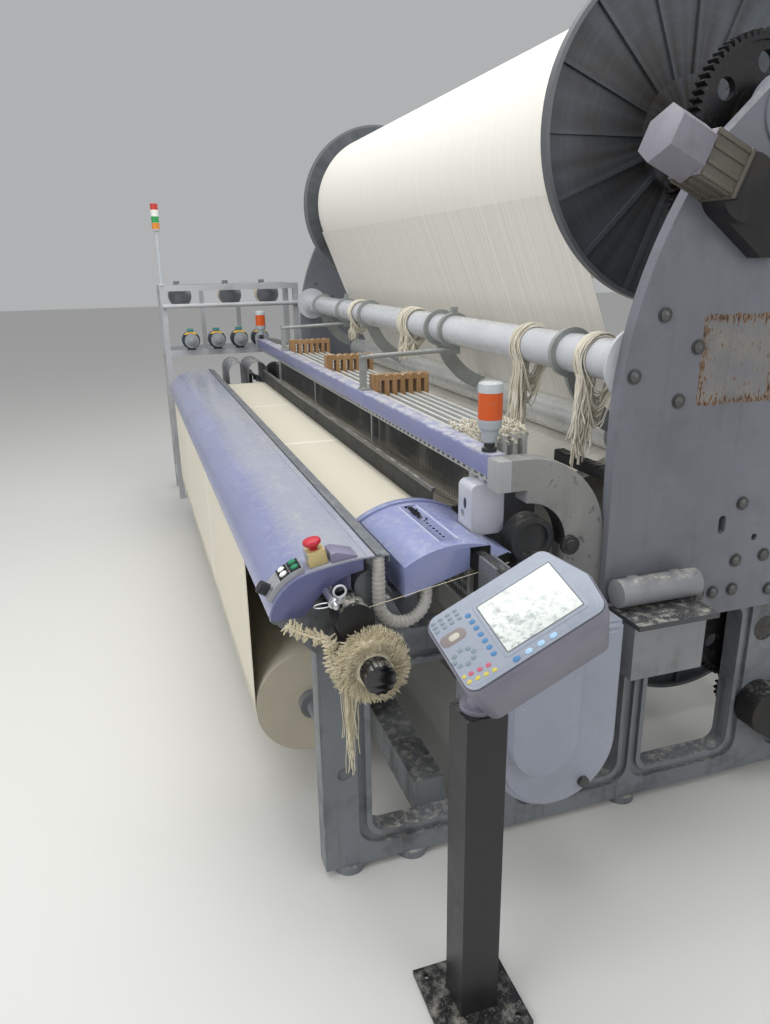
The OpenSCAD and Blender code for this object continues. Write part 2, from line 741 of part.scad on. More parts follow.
// Right end cover over the rapier's path
end_y = [-617, -338];
end_x = [1400, side_x];
end_r = 260;
end_c = [-477, 909 - end_r];
end_wall = 3;
end_z0 = 792;
end_top = end_c[1] + end_r;
cutter_x = [end_x[1] - 185, end_x[1] - 105];
cutter_z = [rapier_z + 5, harness_z - 26];
module end_shape(inset) {
    intersection() {
        at2(end_c) circle(end_r - inset, $fn = 360);
        at2([end_y[0] + inset, end_z0 - 2 * inset]) square([end_y[1] - end_y[0], end_r]);
    }
}
module right_end_cover() {
    recess_x = [end_x[0] + 50, end_x[1] - 45];
    recess_y = [end_c[0] - 35, end_c[0] + 15];
    slit_y = end_c[0] - 15;
    above = end_top + 20;
    foot_x = cutter_x[0] + 13;
    chord = [[end_y[0] - cut, end_z0], [end_y[1] + cut, end_z0 + 84], [end_y[1] + cut, end_z0 - end_r],
        [end_y[0] - cut, end_z0 - end_r]];
    color("#a3a4dc") {
        difference() {
            union() {
                along_x(end_x[0] + 8, end_x[1]) difference() {
                    end_shape(0);
                    end_shape(end_wall);
                }
                along_x(end_x[1] - end_wall, end_x[1]) end_shape(0);
                along_x(end_x[0], end_x[0] + 26) difference() {
                    end_shape(-6);
                    end_shape(end_wall);
                    at2([end_y[0] - 20, end_z0 - 20]) square([400, 66]);
                }
            }
            along_x(end_x[1] - 2 * end_wall, end_x[1] + cut) polygon(chord);
            block(end_x[0] - cut, end_x[0] + 160, end_y[0] - 10, end_y[0] + 60, end_z0 - cut, end_z0 + 62);
            block(end_x[1] - 20, end_x[1] + cut, rapier_y - 30, rapier_y + 25, end_z0 - 90, rapier_z + 18);
            block(cutter_x[0] - 8, cutter_x[1] + 8, harness_y - 34, end_y[1] + cut, end_z0 + 8, above);
            block(recess_x[0], recess_x[1], recess_y[0], recess_y[1], end_top - end_wall, above);
            for (i = [0:11])
                block(recess_x[0] + 14 + 22 * i, recess_x[0] + 26 + 22 * i, slit_y, slit_y + 6,
                    end_top - 20, above);
        }
        block(foot_x - 3, foot_x + 3, end_y[0] + end_wall, end_y[0] + 61, front_h - 12, end_z0 + 80);
        block(foot_x - 13, foot_x + 13, end_y[0] + end_wall, end_y[0] + 61, front_h - 12, front_h - 6);
    }
}
// Left end cover: twin arches over the rapier's path
module left_end_cover() {
    arch = 59;
    top = 983;
    y0 = -599;
    low = 812;
    wall = 3;
    x0 = -side_x + 20;
    x1 = -end_x[0] - 30;
    color("#8e9096") {
        along_x(x0, x1) difference() {
            for (k = [0, 1])
                twin_arch([y0 + arch + 2 * arch * k, top - arch], arch, low);
            for (k = [0, 1])
                twin_arch([y0 + arch + 2 * arch * k, top - arch], arch - wall, low - cut);
        }
        for (x = [x0 + 90, x1 - 40])
            block(x, x + 14, y0, y0 + 34, front_h - 12, low);
    }
}
module twin_arch(c, r, low) {
    at2(c) circle(r);
    at2([c[0] - r, low]) square([2 * r, c[1] - low]);
}
// Box that hangs from the harness beam over the end cover
module cutter_box() {
    x0 = cutter_x[0];
    x1 = cutter_x[1];
    color("#e9eaec") {
        difference() {
            along_x(x0, x1) round_rect([harness_y - 31, cutter_z[0]], [harness_y + 60, cutter_z[1]], 18);
            translate([x0 + 26, harness_y - 32, cutter_z[0] + 46]) rotate([-90, 0, 0])
                cylinder(r = 11, h = 20);
        }
        block(x0 + 24, x1 - 24, harness_y + 12, harness_y + 36, cutter_z[1] - cut, harness_z);
    }
    color("#2a2c2f")
        block(x0 + 14, x1 - 14, harness_y - 20, harness_y + 50, cutter_z[0] - 8, cutter_z[0] + cut);
}
module breast_table() {
    web_x = [-1200, -600, 0, 600, 1200];
    web_y = [channels[0][0] + 4, channels[0][1] - 4];
    half = cloth_x + 20;
    color("#b6b8ba") {
        block(-half, half, table_y0, table_y1, table_top - table_t, table_top);
        for (x = web_x)
            block(x - 8, x + 8, web_y[0], web_y[1], front_h - 12, table_top - table_t + cut);
    }
}

// Cloth from the fell over the table and rolls down to the cloth roll
fell_y = reed_y - 1;
cloth_rolls = [[breast_y, breast_z, breast_r + gap], [takeup_y, takeup_z, -takeup_r - gap - cloth_t],
    [guide_y, guide_z, guide_r + gap]];
module cloth() {
    turns = [180, belt_angle(cloth_rolls[0], cloth_rolls[1]),
        belt_angle(cloth_rolls[1], cloth_rolls[2]), 270];
    down_y = guide_y - guide_r - gap;
    color("#efe9d8") along_x(-cloth_x, cloth_x)
        strip2d(cloth_rolls, turns, cloth_t, [[fell_y, cloth_z], [fell_y, cloth_z + cloth_t]],
            [[down_y, roll_z], [down_y - cloth_t, roll_z]]);
}
// Plain roller with a journal on each end
module roller(r, half, journal, reach, y, z) {
    rod_x(r, -half, half, y, z);
    rod_x(journal, -reach, reach, y, z);
}
module take_up_roll() {
    color("#55585c") roller(takeup_r, cloth_x + 20, roll_journal_r, plate_in - 4, takeup_y, takeup_z);
}
module guide_roll() {
    color("#b5b8bb") roller(guide_r, cloth_x + 20, guide_r / 2, plate_in - 4, guide_y, guide_z);
}
module cloth_roll() {
    flange_gap = 30;
    color("#efe9d8") {
        rod_x(roll_r, -cloth_x, cloth_x, roll_y, roll_z);
        rod_x(40, -cloth_x - flange_gap, cloth_x + flange_gap, roll_y, roll_z);
        rod_x(roll_journal_r, -plate_in + 4, plate_in - 4, roll_y, roll_z);
    }
}

// Sley: shaft, swords, beam with race board and the clamp behind the reed
module sley() {
    sword_x = [-1200, -600, 0, 600, 1200];
    beam_h = 88;
    color("#9a9da1") {
        block(-sley_half, sley_half, sley_y0, sley_y1, sley_top - beam_h, sley_top);
        block(-reed_x, reed_x, reed_y + reed_t, sley_y1, sley_top - cut, sley_top + 24);
        rod_x(sley_r, -plate_in + 6, plate_in - 6, sley_y, sley_z);
        for (x = sword_x)
            along_x(x - 12, x + 12) {
                at2([sley_y, sley_z]) circle(44);
                polygon([[sley_y - 40, sley_z + 18], [sley_y + 20, sley_z + 40],
                    [sley_y1 - 8, sley_top - beam_h + cut], [sley_y0 + 14, sley_top - beam_h + cut]]);
            }
    }
}
module reed() {
    dents = 100;
    band = 12;
    step = 2 * (reed_x - 20) / dents;
    color("#c3c6c8") difference() {
        block(-reed_x, reed_x, reed_y, reed_y + reed_t, reed_z, reed_z + reed_h);
        for (k = [0:dents - 1])
            block(20 - reed_x + step * (k + 0.3), 20 - reed_x + step * (k + 0.7), reed_y - cut,
                reed_y + reed_t + cut, reed_z + band, reed_z + reed_h - band);
    }
}

// Heald frame i in the middle of its stroke: rails, side stays and two inner stays
stay = 20;
inner_stay = 480;
function frame_y(i) = heald_y + i * heald_pitch;
module heald_frame(i) {
    z0 = heald_top - heald_h;
    color("#b9bcbf") {
        block(-heald_x, heald_x, frame_y(i), frame_y(i) + heald_t, heald_top - heald_rail, heald_top);
        block(-heald_x, heald_x, frame_y(i), frame_y(i) + heald_t, z0, z0 + heald_rail);
        both() block(heald_x - stay, heald_x, frame_y(i), frame_y(i) + heald_t, z0, heald_top);
        both() block(inner_stay - 5, inner_stay + 5, frame_y(i) + 2, frame_y(i) + heald_t - 2,
            z0 + 10, heald_top - 10);
    }
}
module heald_frame_1() {
    heald_frame(0);
}
module heald_frame_2() {
    heald_frame(1);
}
module heald_frame_3() {
    heald_frame(2);
}
module heald_frame_4() {
    heald_frame(3);
}
module heald_frame_5() {
    heald_frame(4);
}
module heald_frame_6() {
    heald_frame(5);
}
// Grooved guides for the heald frames' ends, on arms from the side frames
module frame_guides() {
    deep = 12;
    back = 40;
    z0 = 700;
    z1 = 960;
    side = 0.5;
    x0 = heald_x - deep;
    x1 = heald_x + back;
    color("#5f6266") both() {
        difference() {
            block(x0, x1, heald_y - 7, comb_y1 - 8, z0, z1);
            for (i = [0:5])
                block(x0 - cut, heald_x + 1, frame_y(i) - side, frame_y(i) + heald_t + side,
                    z0 - cut, z1 + cut);
        }
        block(heald_x + 7, x1, heald_y + 10, comb_y1 - 20, frame_h - 80, z0 + cut);
        block(x1 - cut, frame_in, heald_y + 10, comb_y1 - 20, frame_h - 80, frame_h - 10);
    }
}

// Warp beam: barrel, ribbed flanges with a rolled rim, journals and the gear at the near end
module warp_beam(r_flange, neck) {
    rim = 12;
    rib_h = 9;
    flange_t = 12;
    rod_x(barrel_r, -flange_x, flange_x, 0, 0);
    both() {
        rod_x(r_flange, flange_x - flange_t / 2, flange_x + flange_t / 2, 0, 0);
        rod_x(barrel_r + 50, flange_x, flange_x + 30, 0, 0);
        rod_x(neck, flange_x, gear_x, 0, 0);
        translate([flange_x, 0, 0]) rotate([0, 90, 0]) difference() {
            cylinder(r = r_flange, h = flange_t / 2 + 16);
            translate([0, 0, -cut]) cylinder(r = r_flange - rim, h = 60);
        }
        for (k = [0:flange_ribs - 1])
            rotate([360 * k / flange_ribs, 0, 0])
                block(flange_x, flange_x + flange_t / 2 + rib_h, -6, 6, barrel_r + 40, r_flange - rim + 2);
    }
}
module beam_gear(phase) {
    difference() {
        along_x(gear_x, gear_x + gear_w) gear2d(gear_teeth, phase);
        for (x = [gear_x - cut, gear_x + gear_w - 8])
            translate([x, 0, 0]) rotate([0, 90, 0]) difference() {
                cylinder(r = gear_rp - 3 * gear_m, h = 8 + cut);
                translate([0, 0, -cut]) cylinder(r = 84, h = 20);
            }
        for (k = [0:5])
            rotate([60 * k, 0, 0]) rod_x(26, gear_x, gear_x + gear_w, 0, 128);
    }
}
module pile_beam() {
    color("#6d7074") translate([0, beam_y, beam_z]) {
        warp_beam(flange_r, 60);
        beam_gear(pile_pinion_a);
        both() rod_x(journal_r, gear_x - cut, side_x - 2, 0, 0);
    }
}
module ground_beam() {
    color("#6d7074") translate([0, ground_y, ground_z]) {
        warp_beam(ground_flange_r, 60);
        beam_gear(ground_pinion_a);
        both() rod_x(journal_r, gear_x - cut, plate_in - 3, 0, 0);
    }
}
module wound_warp(r) {
    half = flange_x - 6 - gap;
    rotate([0, 90, 0]) rotate_extrude()
        polygon([[barrel_r, -half], [r - 10, -half], [r, -half + 60], [r, half - 60], [r - 10, half],
            [barrel_r, half]]);
}
module pile_warp() {
    color("#f0ebdd") translate([0, beam_y, beam_z]) wound_warp(warp_r);
}
module ground_warp() {
    color("#f0ebdd") translate([0, ground_y, ground_z]) wound_warp(ground_warp_r);
}
// Pinion whose tooth space faces the beam gear, on a shaft that runs outwards
module pinion(a, reach) {
    along_x(gear_x, gear_x + gear_w) gear2d(pinion_teeth, a + 180 + 180 / pinion_teeth);
    rod_x(pinion_bore_r + 10, gear_x - 8, gear_x + 1, 0, 0);
    rod_x(pinion_bore_r, gear_x + gear_w - cut, reach, 0, 0);
}
pile_pinion_c = [beam_y, beam_z] + pinion_at(pile_pinion_a);
ground_pinion_c = [ground_y, ground_z] + pinion_at(ground_pinion_a);
module pile_pinion() {
    color("#4a4c50") translate([0, pile_pinion_c[0], pile_pinion_c[1]]) pinion(pile_pinion_a, side_x + 40);
}
module ground_pinion() {
    color("#4a4c50") translate([0, ground_pinion_c[0], ground_pinion_c[1]])
        pinion(ground_pinion_a, plate_in + 40);
}
// Geared let-off motors: guard and gearbox on the wall, square motor with long ribs and a six-sided cap
motor_w = 108;
motor_ribs = [-44, -17, 17, 44];
module gear_motor(x0, lean) {
    box_t = 74;
    rib_w = 9;
    rib_deep = 4;
    difference() {
        union() {
            color("#26282b") rod_x(74, x0, x0 + box_t, 0, 0);
            color("#26282b") along_x(x0, x0 + 46)
                polygon([[-50, -54], [80, -150], [150, -150], [150, 60], [40, 62]]);
        }
        rod_x(pinion_bore_r + run, x0 - cut, x0 + 44, 0, 0);
    }
    translate([x0 + 2 + motor_w / 2, 0, 0]) rotate([lean, 0, 0]) {
        color("#4d4f53") {
            translate([-motor_w / 2 + rib_deep, -motor_w / 2 + rib_deep, 40])
                cube([motor_w - 2 * rib_deep, motor_w - 2 * rib_deep, 124]);
            for (a = [0 : 90 : 270])
                rotate(a) for (x = motor_ribs)
                    translate([x - rib_w / 2, motor_w / 2 - rib_deep - 1, 66])
                        cube([rib_w, rib_deep + 1, 92]);
            translate([-motor_w / 2, -motor_w / 2, 54]) cube([motor_w, motor_w, 10]);
        }
        color("#b5b7b9") translate([0, 0, 162]) rotate(30) cylinder(r = motor_w * 0.6, h = 98, $fn = 6);
        color("#3b3d41") translate([0, 0, 50]) cylinder(r = 48, h = 16);
    }
}
module let_off_drives() {
    translate([0, pile_pinion_c[0], pile_pinion_c[1]]) gear_motor(side_x, 66);
    translate([0, ground_pinion_c[0], ground_pinion_c[1]]) gear_motor(plate_in, -90);
}

// Warp sheets from both beams over their rolls to the heald frames
warp_t = 1.2;
module sheet2d(beam, roll, end) {
    w0 = belt_angle(beam, roll);
    w1 = belt_angle(roll, end);
    strip2d([roll], [w0, w1], warp_t,
        [belt_point(beam, w0, beam[2]), belt_point(beam, w0, beam[2] + warp_t)],
        [belt_point(end, w1, 0), belt_point(end, w1, warp_t)]);
}
module warp_sheets() {
    front = comb_y1 + 8;
    color("#ece6d6") along_x(-cloth_x, cloth_x) {
        sheet2d([beam_y, beam_z, warp_r + gap], [whip_y, whip_z, -whip_r - gap - warp_t],
            [front, table_top + 8, 0]);
        sheet2d([ground_y, ground_z, ground_warp_r + gap], [back_y, back_z, back_r + gap],
            [front, table_top - 6, 0]);
    }
}
module whip_roll() {
    color("#c4c7ca") roller(whip_r, flange_x, roll_journal_r, max(arm_x) + arm_t / 2, whip_y, whip_z);
}
module back_roll() {
    color("#c4c7ca") roller(back_r, flange_x, roll_journal_r, plate_in + 3, back_y, back_z);
}

// Operator console: face frame has X to the right of the face, Y up it and Z out of it
console_c = [2252, -580, 949];
console_turn = [26.5, -28.6, 84.6];
console_r = 26;
// Swivel pin of the console in the post's head
pin_r = 22;
pin_deep = 90;
module on_console() {
    translate(console_c) rotate(console_turn) children();
}
// Corners of the face as shares of its half sizes: its right side is cut back at the top and bows out
face_form = [[-1, -1], [1.04, -1], [1.11, -0.2], [0.87, 1], [-1, 1]];
function face_corners(inset) = [for (p = face_form)
    [p[0] * (console_w / 2 - console_r - inset[0]), p[1] * (console_h / 2 - console_r - inset[1])]];
// Round corners of the housing: pulled in from the face's outline, from a depth up by h
module console_corners(inset, r, depth, h) {
    for (p = face_corners(inset))
        translate([p[0], p[1], -depth]) cylinder(r = r, h = h, $fn = 32);
}
module console_housing() {
    edge = 34;
    beyond = 2 * console_w;
    color("#b3b1c4") {
        on_console() hull() {
            console_corners([0, 0], console_r, edge, edge - 6);
            console_corners([0, 0], console_r - 5, edge, edge);
            console_corners([8, 4], console_r - 4, console_d, 30);
        }
        difference() {
            translate([post_x, post_y, post_h - pin_deep]) cylinder(r = pin_r, h = pin_deep + 100);
            on_console() translate([-beyond / 2, -beyond / 2, 8 - console_d]) cube(beyond);
        }
        translate([post_x, post_y, post_h + 0.4]) cylinder(r = 36, h = 10);
    }
}
screen = [156, 110];
screen_c = [33, -2];
face_t = 3;
key_h = 0.6;
// A row of n round keys from p on, each a step from the last
module key_row(p, step, n, r) {
    for (k = [0:n - 1])
        translate([p[0] + step[0] * k, p[1] + step[1] * k, face_t - 1]) cylinder(r = r, h = key_h + 1);
}
module console_panel() {
    edge = 5;
    ring_c = [-113, -20];
    ring_r = [17, 15];
    color("#c4c7d0") on_console() {
        difference() {
            linear_extrude(face_t) hull()
                for (p = face_corners([0, 0]))
                    translate(p) circle(r = console_r - edge, $fn = 32);
            translate([screen_c[0] - screen[0] / 2, screen_c[1] - screen[1] / 2, face_t - 2])
                cube([screen[0], screen[1], 5]);
        }
        for (j = [0:2])
            key_row([-console_w / 2 + 14, console_h / 2 - 18 - 9.5 * j], [15.5, 0], 4, 3.6);
        key_row([-67, 46], [0, -15], 7, 4.6);
        for (k = [0:7])
            key_row(ring_c + [ring_r[0] * cos(45 * k), ring_r[1] * sin(45 * k)], [0, 0], 1, 5);
        key_row([-118, -53], [16.5, 0], 3, 4);
        key_row([-128, -66], [16, 0], 4, 4);
        key_row([-39, -75], [25, 0], 4, 6);
    }
}
// Square post with a closed head that holds the swivel pin, and its base plate with anchor holes
module console_post() {
    wall = 4;
    plate = 200;
    plate_h = 10;
    hole_at = 76;
    hole_r = 7;
    room = post_w - 2 * wall;
    color("#1f2023") translate([post_x, post_y, 0]) {
        difference() {
            translate([-post_w / 2, -post_w / 2, plate_h - cut])
                cube([post_w, post_w, post_h - plate_h + cut]);
            translate([-room / 2, -room / 2, plate_h + 2])
                cube([room, room, post_h - plate_h - pin_deep - 12]);
            translate([0, 0, post_h - pin_deep - 11]) cylinder(r = pin_r + run, h = pin_deep + 30);
        }
        difference() {
            translate([-plate / 2, -plate / 2, 0]) cube([plate, plate, plate_h]);
            for (x = [-hole_at, hole_at])
                for (y = [-hole_at, hole_at])
                    translate([x, y, -cut]) cylinder(r = hole_r, h = plate_h + 2 * cut);
        }
    }
}

// Housings of the rapier drives outside the side frames
drive_y = [-466, -138];
drive_z = [271, 740];
drive_x = 2000;
module d_shape(inset) {
    r = (drive_y[1] - drive_y[0]) / 2;
    c = [(drive_y[0] + drive_y[1]) / 2, drive_z[0] + r];
    at2(c) circle(r - inset);
    at2([drive_y[0] + inset, c[1]]) square([2 * (r - inset), drive_z[1] - c[1] - inset]);
}
module drive_cover() {
    color("#b9bcc9") {
        along_x(plate_in, arch_x1 + gap) difference() {
            d_shape(0);
            at2([drive_y[0] - cut, frame_h - gap]) square([400, 200]);
        }
        along_x(arch_x1 + gap, drive_x - 30) d_shape(0);
        translate([drive_x - 30, 0, 0]) along_x(0, 14) d_shape(6);
        translate([drive_x - 16, 0, 0]) along_x(0, 8) d_shape(16);
        along_x(drive_x - 9, drive_x + 22) {
            at2([-356, 480]) circle(84);
            at2([-440, 480]) square([168, 210]);
        }
    }
    color("#1c1d20") rod_x(14, drive_x - 9, drive_x + 4, -232, 330);
    color("#5f6266") tape_guide();
}
// Guide block for the tape, standing on the housing
module tape_guide() {
    x0 = 1810;
    x1 = 1900;
    lip = 7;
    low = rapier_z - 2 - gap;
    half = tape_w / 2 + gap;
    block(x0, x1, rapier_y - half - lip, rapier_y + half + lip, drive_z[1] - cut, low);
    for (y = [rapier_y - half - lip, rapier_y + half])
        block(x0, x1, y, y + lip, low - cut, rapier_z + 5);
}
module drive_covers() {
    both() drive_cover();
}

// Rapiers: gripper head and its straight flat tape
module rapier() {
    head = 120;
    y0 = rapier_y - 20;
    color("#3a3c40") {
        difference() {
            along_x(rapier_rest, rapier_rest + head) at2([y0, rapier_z])
                polygon([[0, -13], [40, -13], [36, 6], [26, 13], [6, 13], [0, 4]]);
            block(rapier_rest - cut, rapier_rest + 40, y0 + 12, y0 + 26, rapier_z - 4, rapier_z + 20);
            translate([rapier_rest, y0 - 10, rapier_z - 14]) rotate([0, 0, -38]) cube([40, 60, 40]);
        }
        block(rapier_rest + head - cut, tape_end, rapier_y - tape_w / 2, rapier_y + tape_w / 2,
            rapier_z - 2, rapier_z + 1);
    }
}
module right_rapier() {
    rapier();
}
module left_rapier() {
    mirror([1, 0, 0]) rapier();
}

// Waste take-off at the near end: bracket with drum, and the roller with its knob and wound waste
waste_c = [-735, 690];
drum_c = [-762, 790];
module waste_bracket() {
    ring_r = 14;
    color("#1d1e21") difference() {
        union() {
            along_x(plate_in, plate_in + 16) {
                at2(waste_c) circle(44);
                at2(drum_c) circle(36);
                polygon([waste_c - [43, 0], waste_c + [43, 0], drum_c + [35, 0], drum_c - [35, 0]]);
            }
            rod_x(36, plate_in + 14, plate_in + 40, waste_c[0], waste_c[1]);
            rod_x(14, plate_in + 14, plate_in + 60, drum_c[0], drum_c[1]);
            rod_x(44, plate_in + 50, plate_in + 120, drum_c[0], drum_c[1]);
        }
        rod_x(12 + run, plate_in + 4, plate_in + 80, waste_c[0], waste_c[1]);
    }
    color("#c9ccd0") translate([plate_in + 100, drum_c[0] - 30, drum_c[1] + 72]) {
        translate([0, 0, -38]) cylinder(r = 5, h = 38 - ring_r);
        rotate([90, 0, 90]) rotate_extrude() translate([ring_r, 0]) circle(2.5);
    }
}
module waste_roller() {
    x0 = plate_in + 41;
    knob_r = 36;
    knob_flutes = 12;
    color("#1d1e21") {
        rod_x(12, plate_in + 5, x0 + 20, waste_c[0], waste_c[1]);
        rod_x(30, x0, x0 + 60, waste_c[0], waste_c[1]);
        translate([x0 + 120, waste_c[0], waste_c[1]]) rotate([0, 90, 0]) difference() {
            cylinder(r = knob_r, h = 50);
            for (k = [0:knob_flutes - 1])
                rotate(360 / knob_flutes * k) translate([knob_r + 5, 0, 10]) cylinder(r = 8, h = 60);
        }
    }
    color("#e3d7b4") translate([x0 + 55, waste_c[0], waste_c[1]]) rotate([0, 90, 0]) rotate_extrude()
        polygon([[0, 0], [34, 0], [52, 10], [57, 24], [70, 32], [74, 44], [66, 58], [40, 70], [0, 70]]);
}

// Feeder stand at the far end: square tubes, rails and the pipe that ties it to the tall plate
stand_y = [-932, -60];
stand_rails = [997, 1299];
module stand_rail_y(x, z) {
    block(x, x + stand_tube, stand_y[0] + stand_tube, stand_y[1], z - stand_tube / 2, z + stand_tube / 2);
}
module feeder_stand() {
    x1 = stand_x + stand_w - stand_tube;
    pipe_r = 14;
    color("#b4b6b8") {
        for (x = [stand_x, x1])
            for (y = stand_y)
                block(x, x + stand_tube, y, y + stand_tube, 0, stand_h);
        for (x = [stand_x, x1])
            for (z = [stand_rails[0], stand_h - stand_tube / 2, 150])
                stand_rail_y(x, z);
        for (y = stand_y)
            for (z = [stand_rails[0], stand_h - stand_tube / 2, 150])
                block(stand_x + stand_tube, x1, y, y + stand_tube, z - stand_tube / 2, z + stand_tube / 2);
        for (y = [-650, -400])
            block(stand_x + 4, stand_x + stand_tube - 4, y, y + 28, stand_rails[0], stand_h - stand_tube);
        rod_y(pipe_r, x1 + stand_tube + pipe_r, stand_y[0] + 10, plate_y + 220, stand_rails[1]);
        block(x1 + stand_tube, -side_x, plate_y + 62, plate_y + 90,
            stand_rails[1] - pipe_r, stand_rails[1] + pipe_r);
    }
}
module rod_y(r, x, y0, y1, z) {
    translate([x, y0, z]) rotate([-90, 0, 0]) cylinder(r = r, h = y1 - y0);
}
// Weft feeders: motor body, drum and yellow marks, clamped on the lower rail
feeder_y = [-760, -590, -440, -300];
module feeders() {
    r = 58;
    x = stand_x + stand_w + 6;
    for (y = feeder_y) translate([x, y, stand_rails[0] + stand_tube / 2 + r + 4]) {
        color("#20324a") translate([-stand_tube, -26, -r - 4]) cube([30, 52, 40]);
        color("#20324a") rotate([0, 90, 0]) {
            translate([0, 0, -70]) cylinder(r = r, h = 60);
            translate([0, 0, -11]) cylinder(r = r - 12, h = 60);
            translate([0, 0, 48]) cylinder(r = 16, h = 26);
        }
        color("#2f7d78") translate([-60, -20, r - 8]) cube([44, 40, 24]);
        color("#e8b93a") rotate([0, 90, 0]) translate([-r + 12, 0, -12]) cylinder(r = 7, h = 5);
    }
}
// Yarn cones with domed guards on pegs between the rails
cone_y = [-800, -470, -215];
module yarn_cones() {
    x = stand_x + stand_w / 2;
    for (y = cone_y) translate([x, y, stand_h - 70]) {
        color("#6b6d74") rotate([0, 90, 0]) translate([0, 0, 62]) difference() {
            intersection() {
                sphere(78);
                translate([0, 0, 20]) cylinder(r = 90, h = 90);
            }
            sphere(75);
        }
        color("#e9e2cc") rotate([0, 90, 0]) rotate_extrude()
            polygon([[10 + gap, -70], [68, -70], [70, -60], [48, 70], [10 + gap, 70]]);
        color("#7b7d82") rod_x(10, -stand_w / 2 + stand_tube, 144, 0, 0);
        color("#7b7d82") block(-stand_w / 2 + stand_tube, -stand_w / 2 + stand_tube + 6, -20, 20, -20, 90);
    }
}

// Rail, dark step cover and pale box outside the near side frame
module side_guard() {
    rail_x = side_x + 46;
    rail_z = 735;
    color("#c3c6ca") {
        rod_y(37, rail_x, -60, 180, rail_z);
        for (y = [0, 130])
            block(side_x, rail_x - 30, y, y + 30, rail_z - 22, rail_z + 22);
        block(side_x, side_x + 120, -50, 167, 522, 676);
    }
    color("#4a4d50") block(side_x, side_x + 150, -60, 180, 676, 690);
}
// Corrugated suction hose that hangs from the strip and the end cover: [y of a leg, height of its top]
hose_c = [-616, 782];
hose_r = 60;
module suction_hose() {
    rib_r = 16;
    x = plate_in + rib_r + gap;
    far = end_c[0] - hose_c[0] - hose_r + rib_r;
    legs = [[hose_c[0] - hose_r, cover_z - cover_t - 3.6 - gap],
        [hose_c[0] + hose_r, end_c[1] + sqrt(pow(end_r - end_wall, 2) - far * far) - gap]];
    color("#b3b5b4") for (leg = legs) {
        translate([x, leg[0], hose_c[1]]) cylinder(r = 14, h = leg[1] - hose_c[1]);
        for (z = [hose_c[1] + 2 : 12 : leg[1] - 6])
            translate([x, leg[0], z]) cylinder(r = rib_r, h = 4.8);
    }
    color("#b3b5b4") translate([x, hose_c[0], hose_c[1]]) rotate([0, 90, 0]) {
        rotate([0, 0, -90]) rotate_extrude(angle = 180) translate([hose_r, 0]) circle(14);
        for (k = [1:14])
            rotate([0, 0, -90 + 12 * k]) translate([hose_r, 0, 0]) rotate([90, 0, 0])
                translate([0, 0, -2.4]) cylinder(r = rib_r, h = 4.8);
    }
}

side_frames();
cross_beams();
beam_plates();
plate_bolts();
cross_tube();
tube_brackets();
wooden_combs();
yarn_hanks();
harness_beam();
arch_covers();
signal_lights();
front_cover();
cover_ends();
rear_strip();
control_strip();
estop_button();
start_button();
jog_button();
stop_button();
mode_knob();
right_end_cover();
left_end_cover();
cutter_box();
breast_table();
cloth();
take_up_roll();
guide_roll();
cloth_roll();
sley();
reed();
heald_frame_1();
heald_frame_2();
heald_frame_3();
heald_frame_4();
heald_frame_5();
heald_frame_6();
frame_guides();
pile_beam();
pile_warp();
pile_pinion();
let_off_drives();
ground_beam();
ground_warp();
ground_pinion();
warp_sheets();
whip_roll();
back_roll();
console_housing();
console_panel();
console_post();
drive_covers();
right_rapier();
left_rapier();
waste_bracket();
waste_roller();
feeder_stand();
feeders();
yarn_cones();
side_guard();
suction_hose();
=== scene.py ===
"""Looks of a wide terry loom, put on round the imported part. Lengths are in metres."""

import json
import math
import random

import bmesh
import bpy
from mathutils import Matrix, Vector

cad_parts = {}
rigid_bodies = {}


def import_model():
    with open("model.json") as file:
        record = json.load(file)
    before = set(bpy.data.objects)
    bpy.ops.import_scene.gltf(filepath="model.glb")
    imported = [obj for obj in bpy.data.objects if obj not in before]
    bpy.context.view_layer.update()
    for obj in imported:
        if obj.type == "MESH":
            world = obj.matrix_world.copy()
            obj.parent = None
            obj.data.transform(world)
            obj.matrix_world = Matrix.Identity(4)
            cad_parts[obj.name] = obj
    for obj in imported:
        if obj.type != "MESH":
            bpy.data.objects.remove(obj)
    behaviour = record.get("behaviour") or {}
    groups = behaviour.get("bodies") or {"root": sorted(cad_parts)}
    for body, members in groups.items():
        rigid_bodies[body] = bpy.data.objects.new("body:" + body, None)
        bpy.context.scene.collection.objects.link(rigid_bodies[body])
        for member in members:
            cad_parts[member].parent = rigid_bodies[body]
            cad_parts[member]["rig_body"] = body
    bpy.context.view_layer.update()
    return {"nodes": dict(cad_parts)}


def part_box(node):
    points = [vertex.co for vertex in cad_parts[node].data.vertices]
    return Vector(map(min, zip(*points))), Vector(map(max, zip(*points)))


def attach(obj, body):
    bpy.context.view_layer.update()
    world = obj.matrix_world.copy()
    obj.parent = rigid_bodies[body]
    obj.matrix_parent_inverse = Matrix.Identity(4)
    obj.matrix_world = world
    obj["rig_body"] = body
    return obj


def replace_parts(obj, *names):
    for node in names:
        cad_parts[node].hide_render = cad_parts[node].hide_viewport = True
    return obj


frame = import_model()

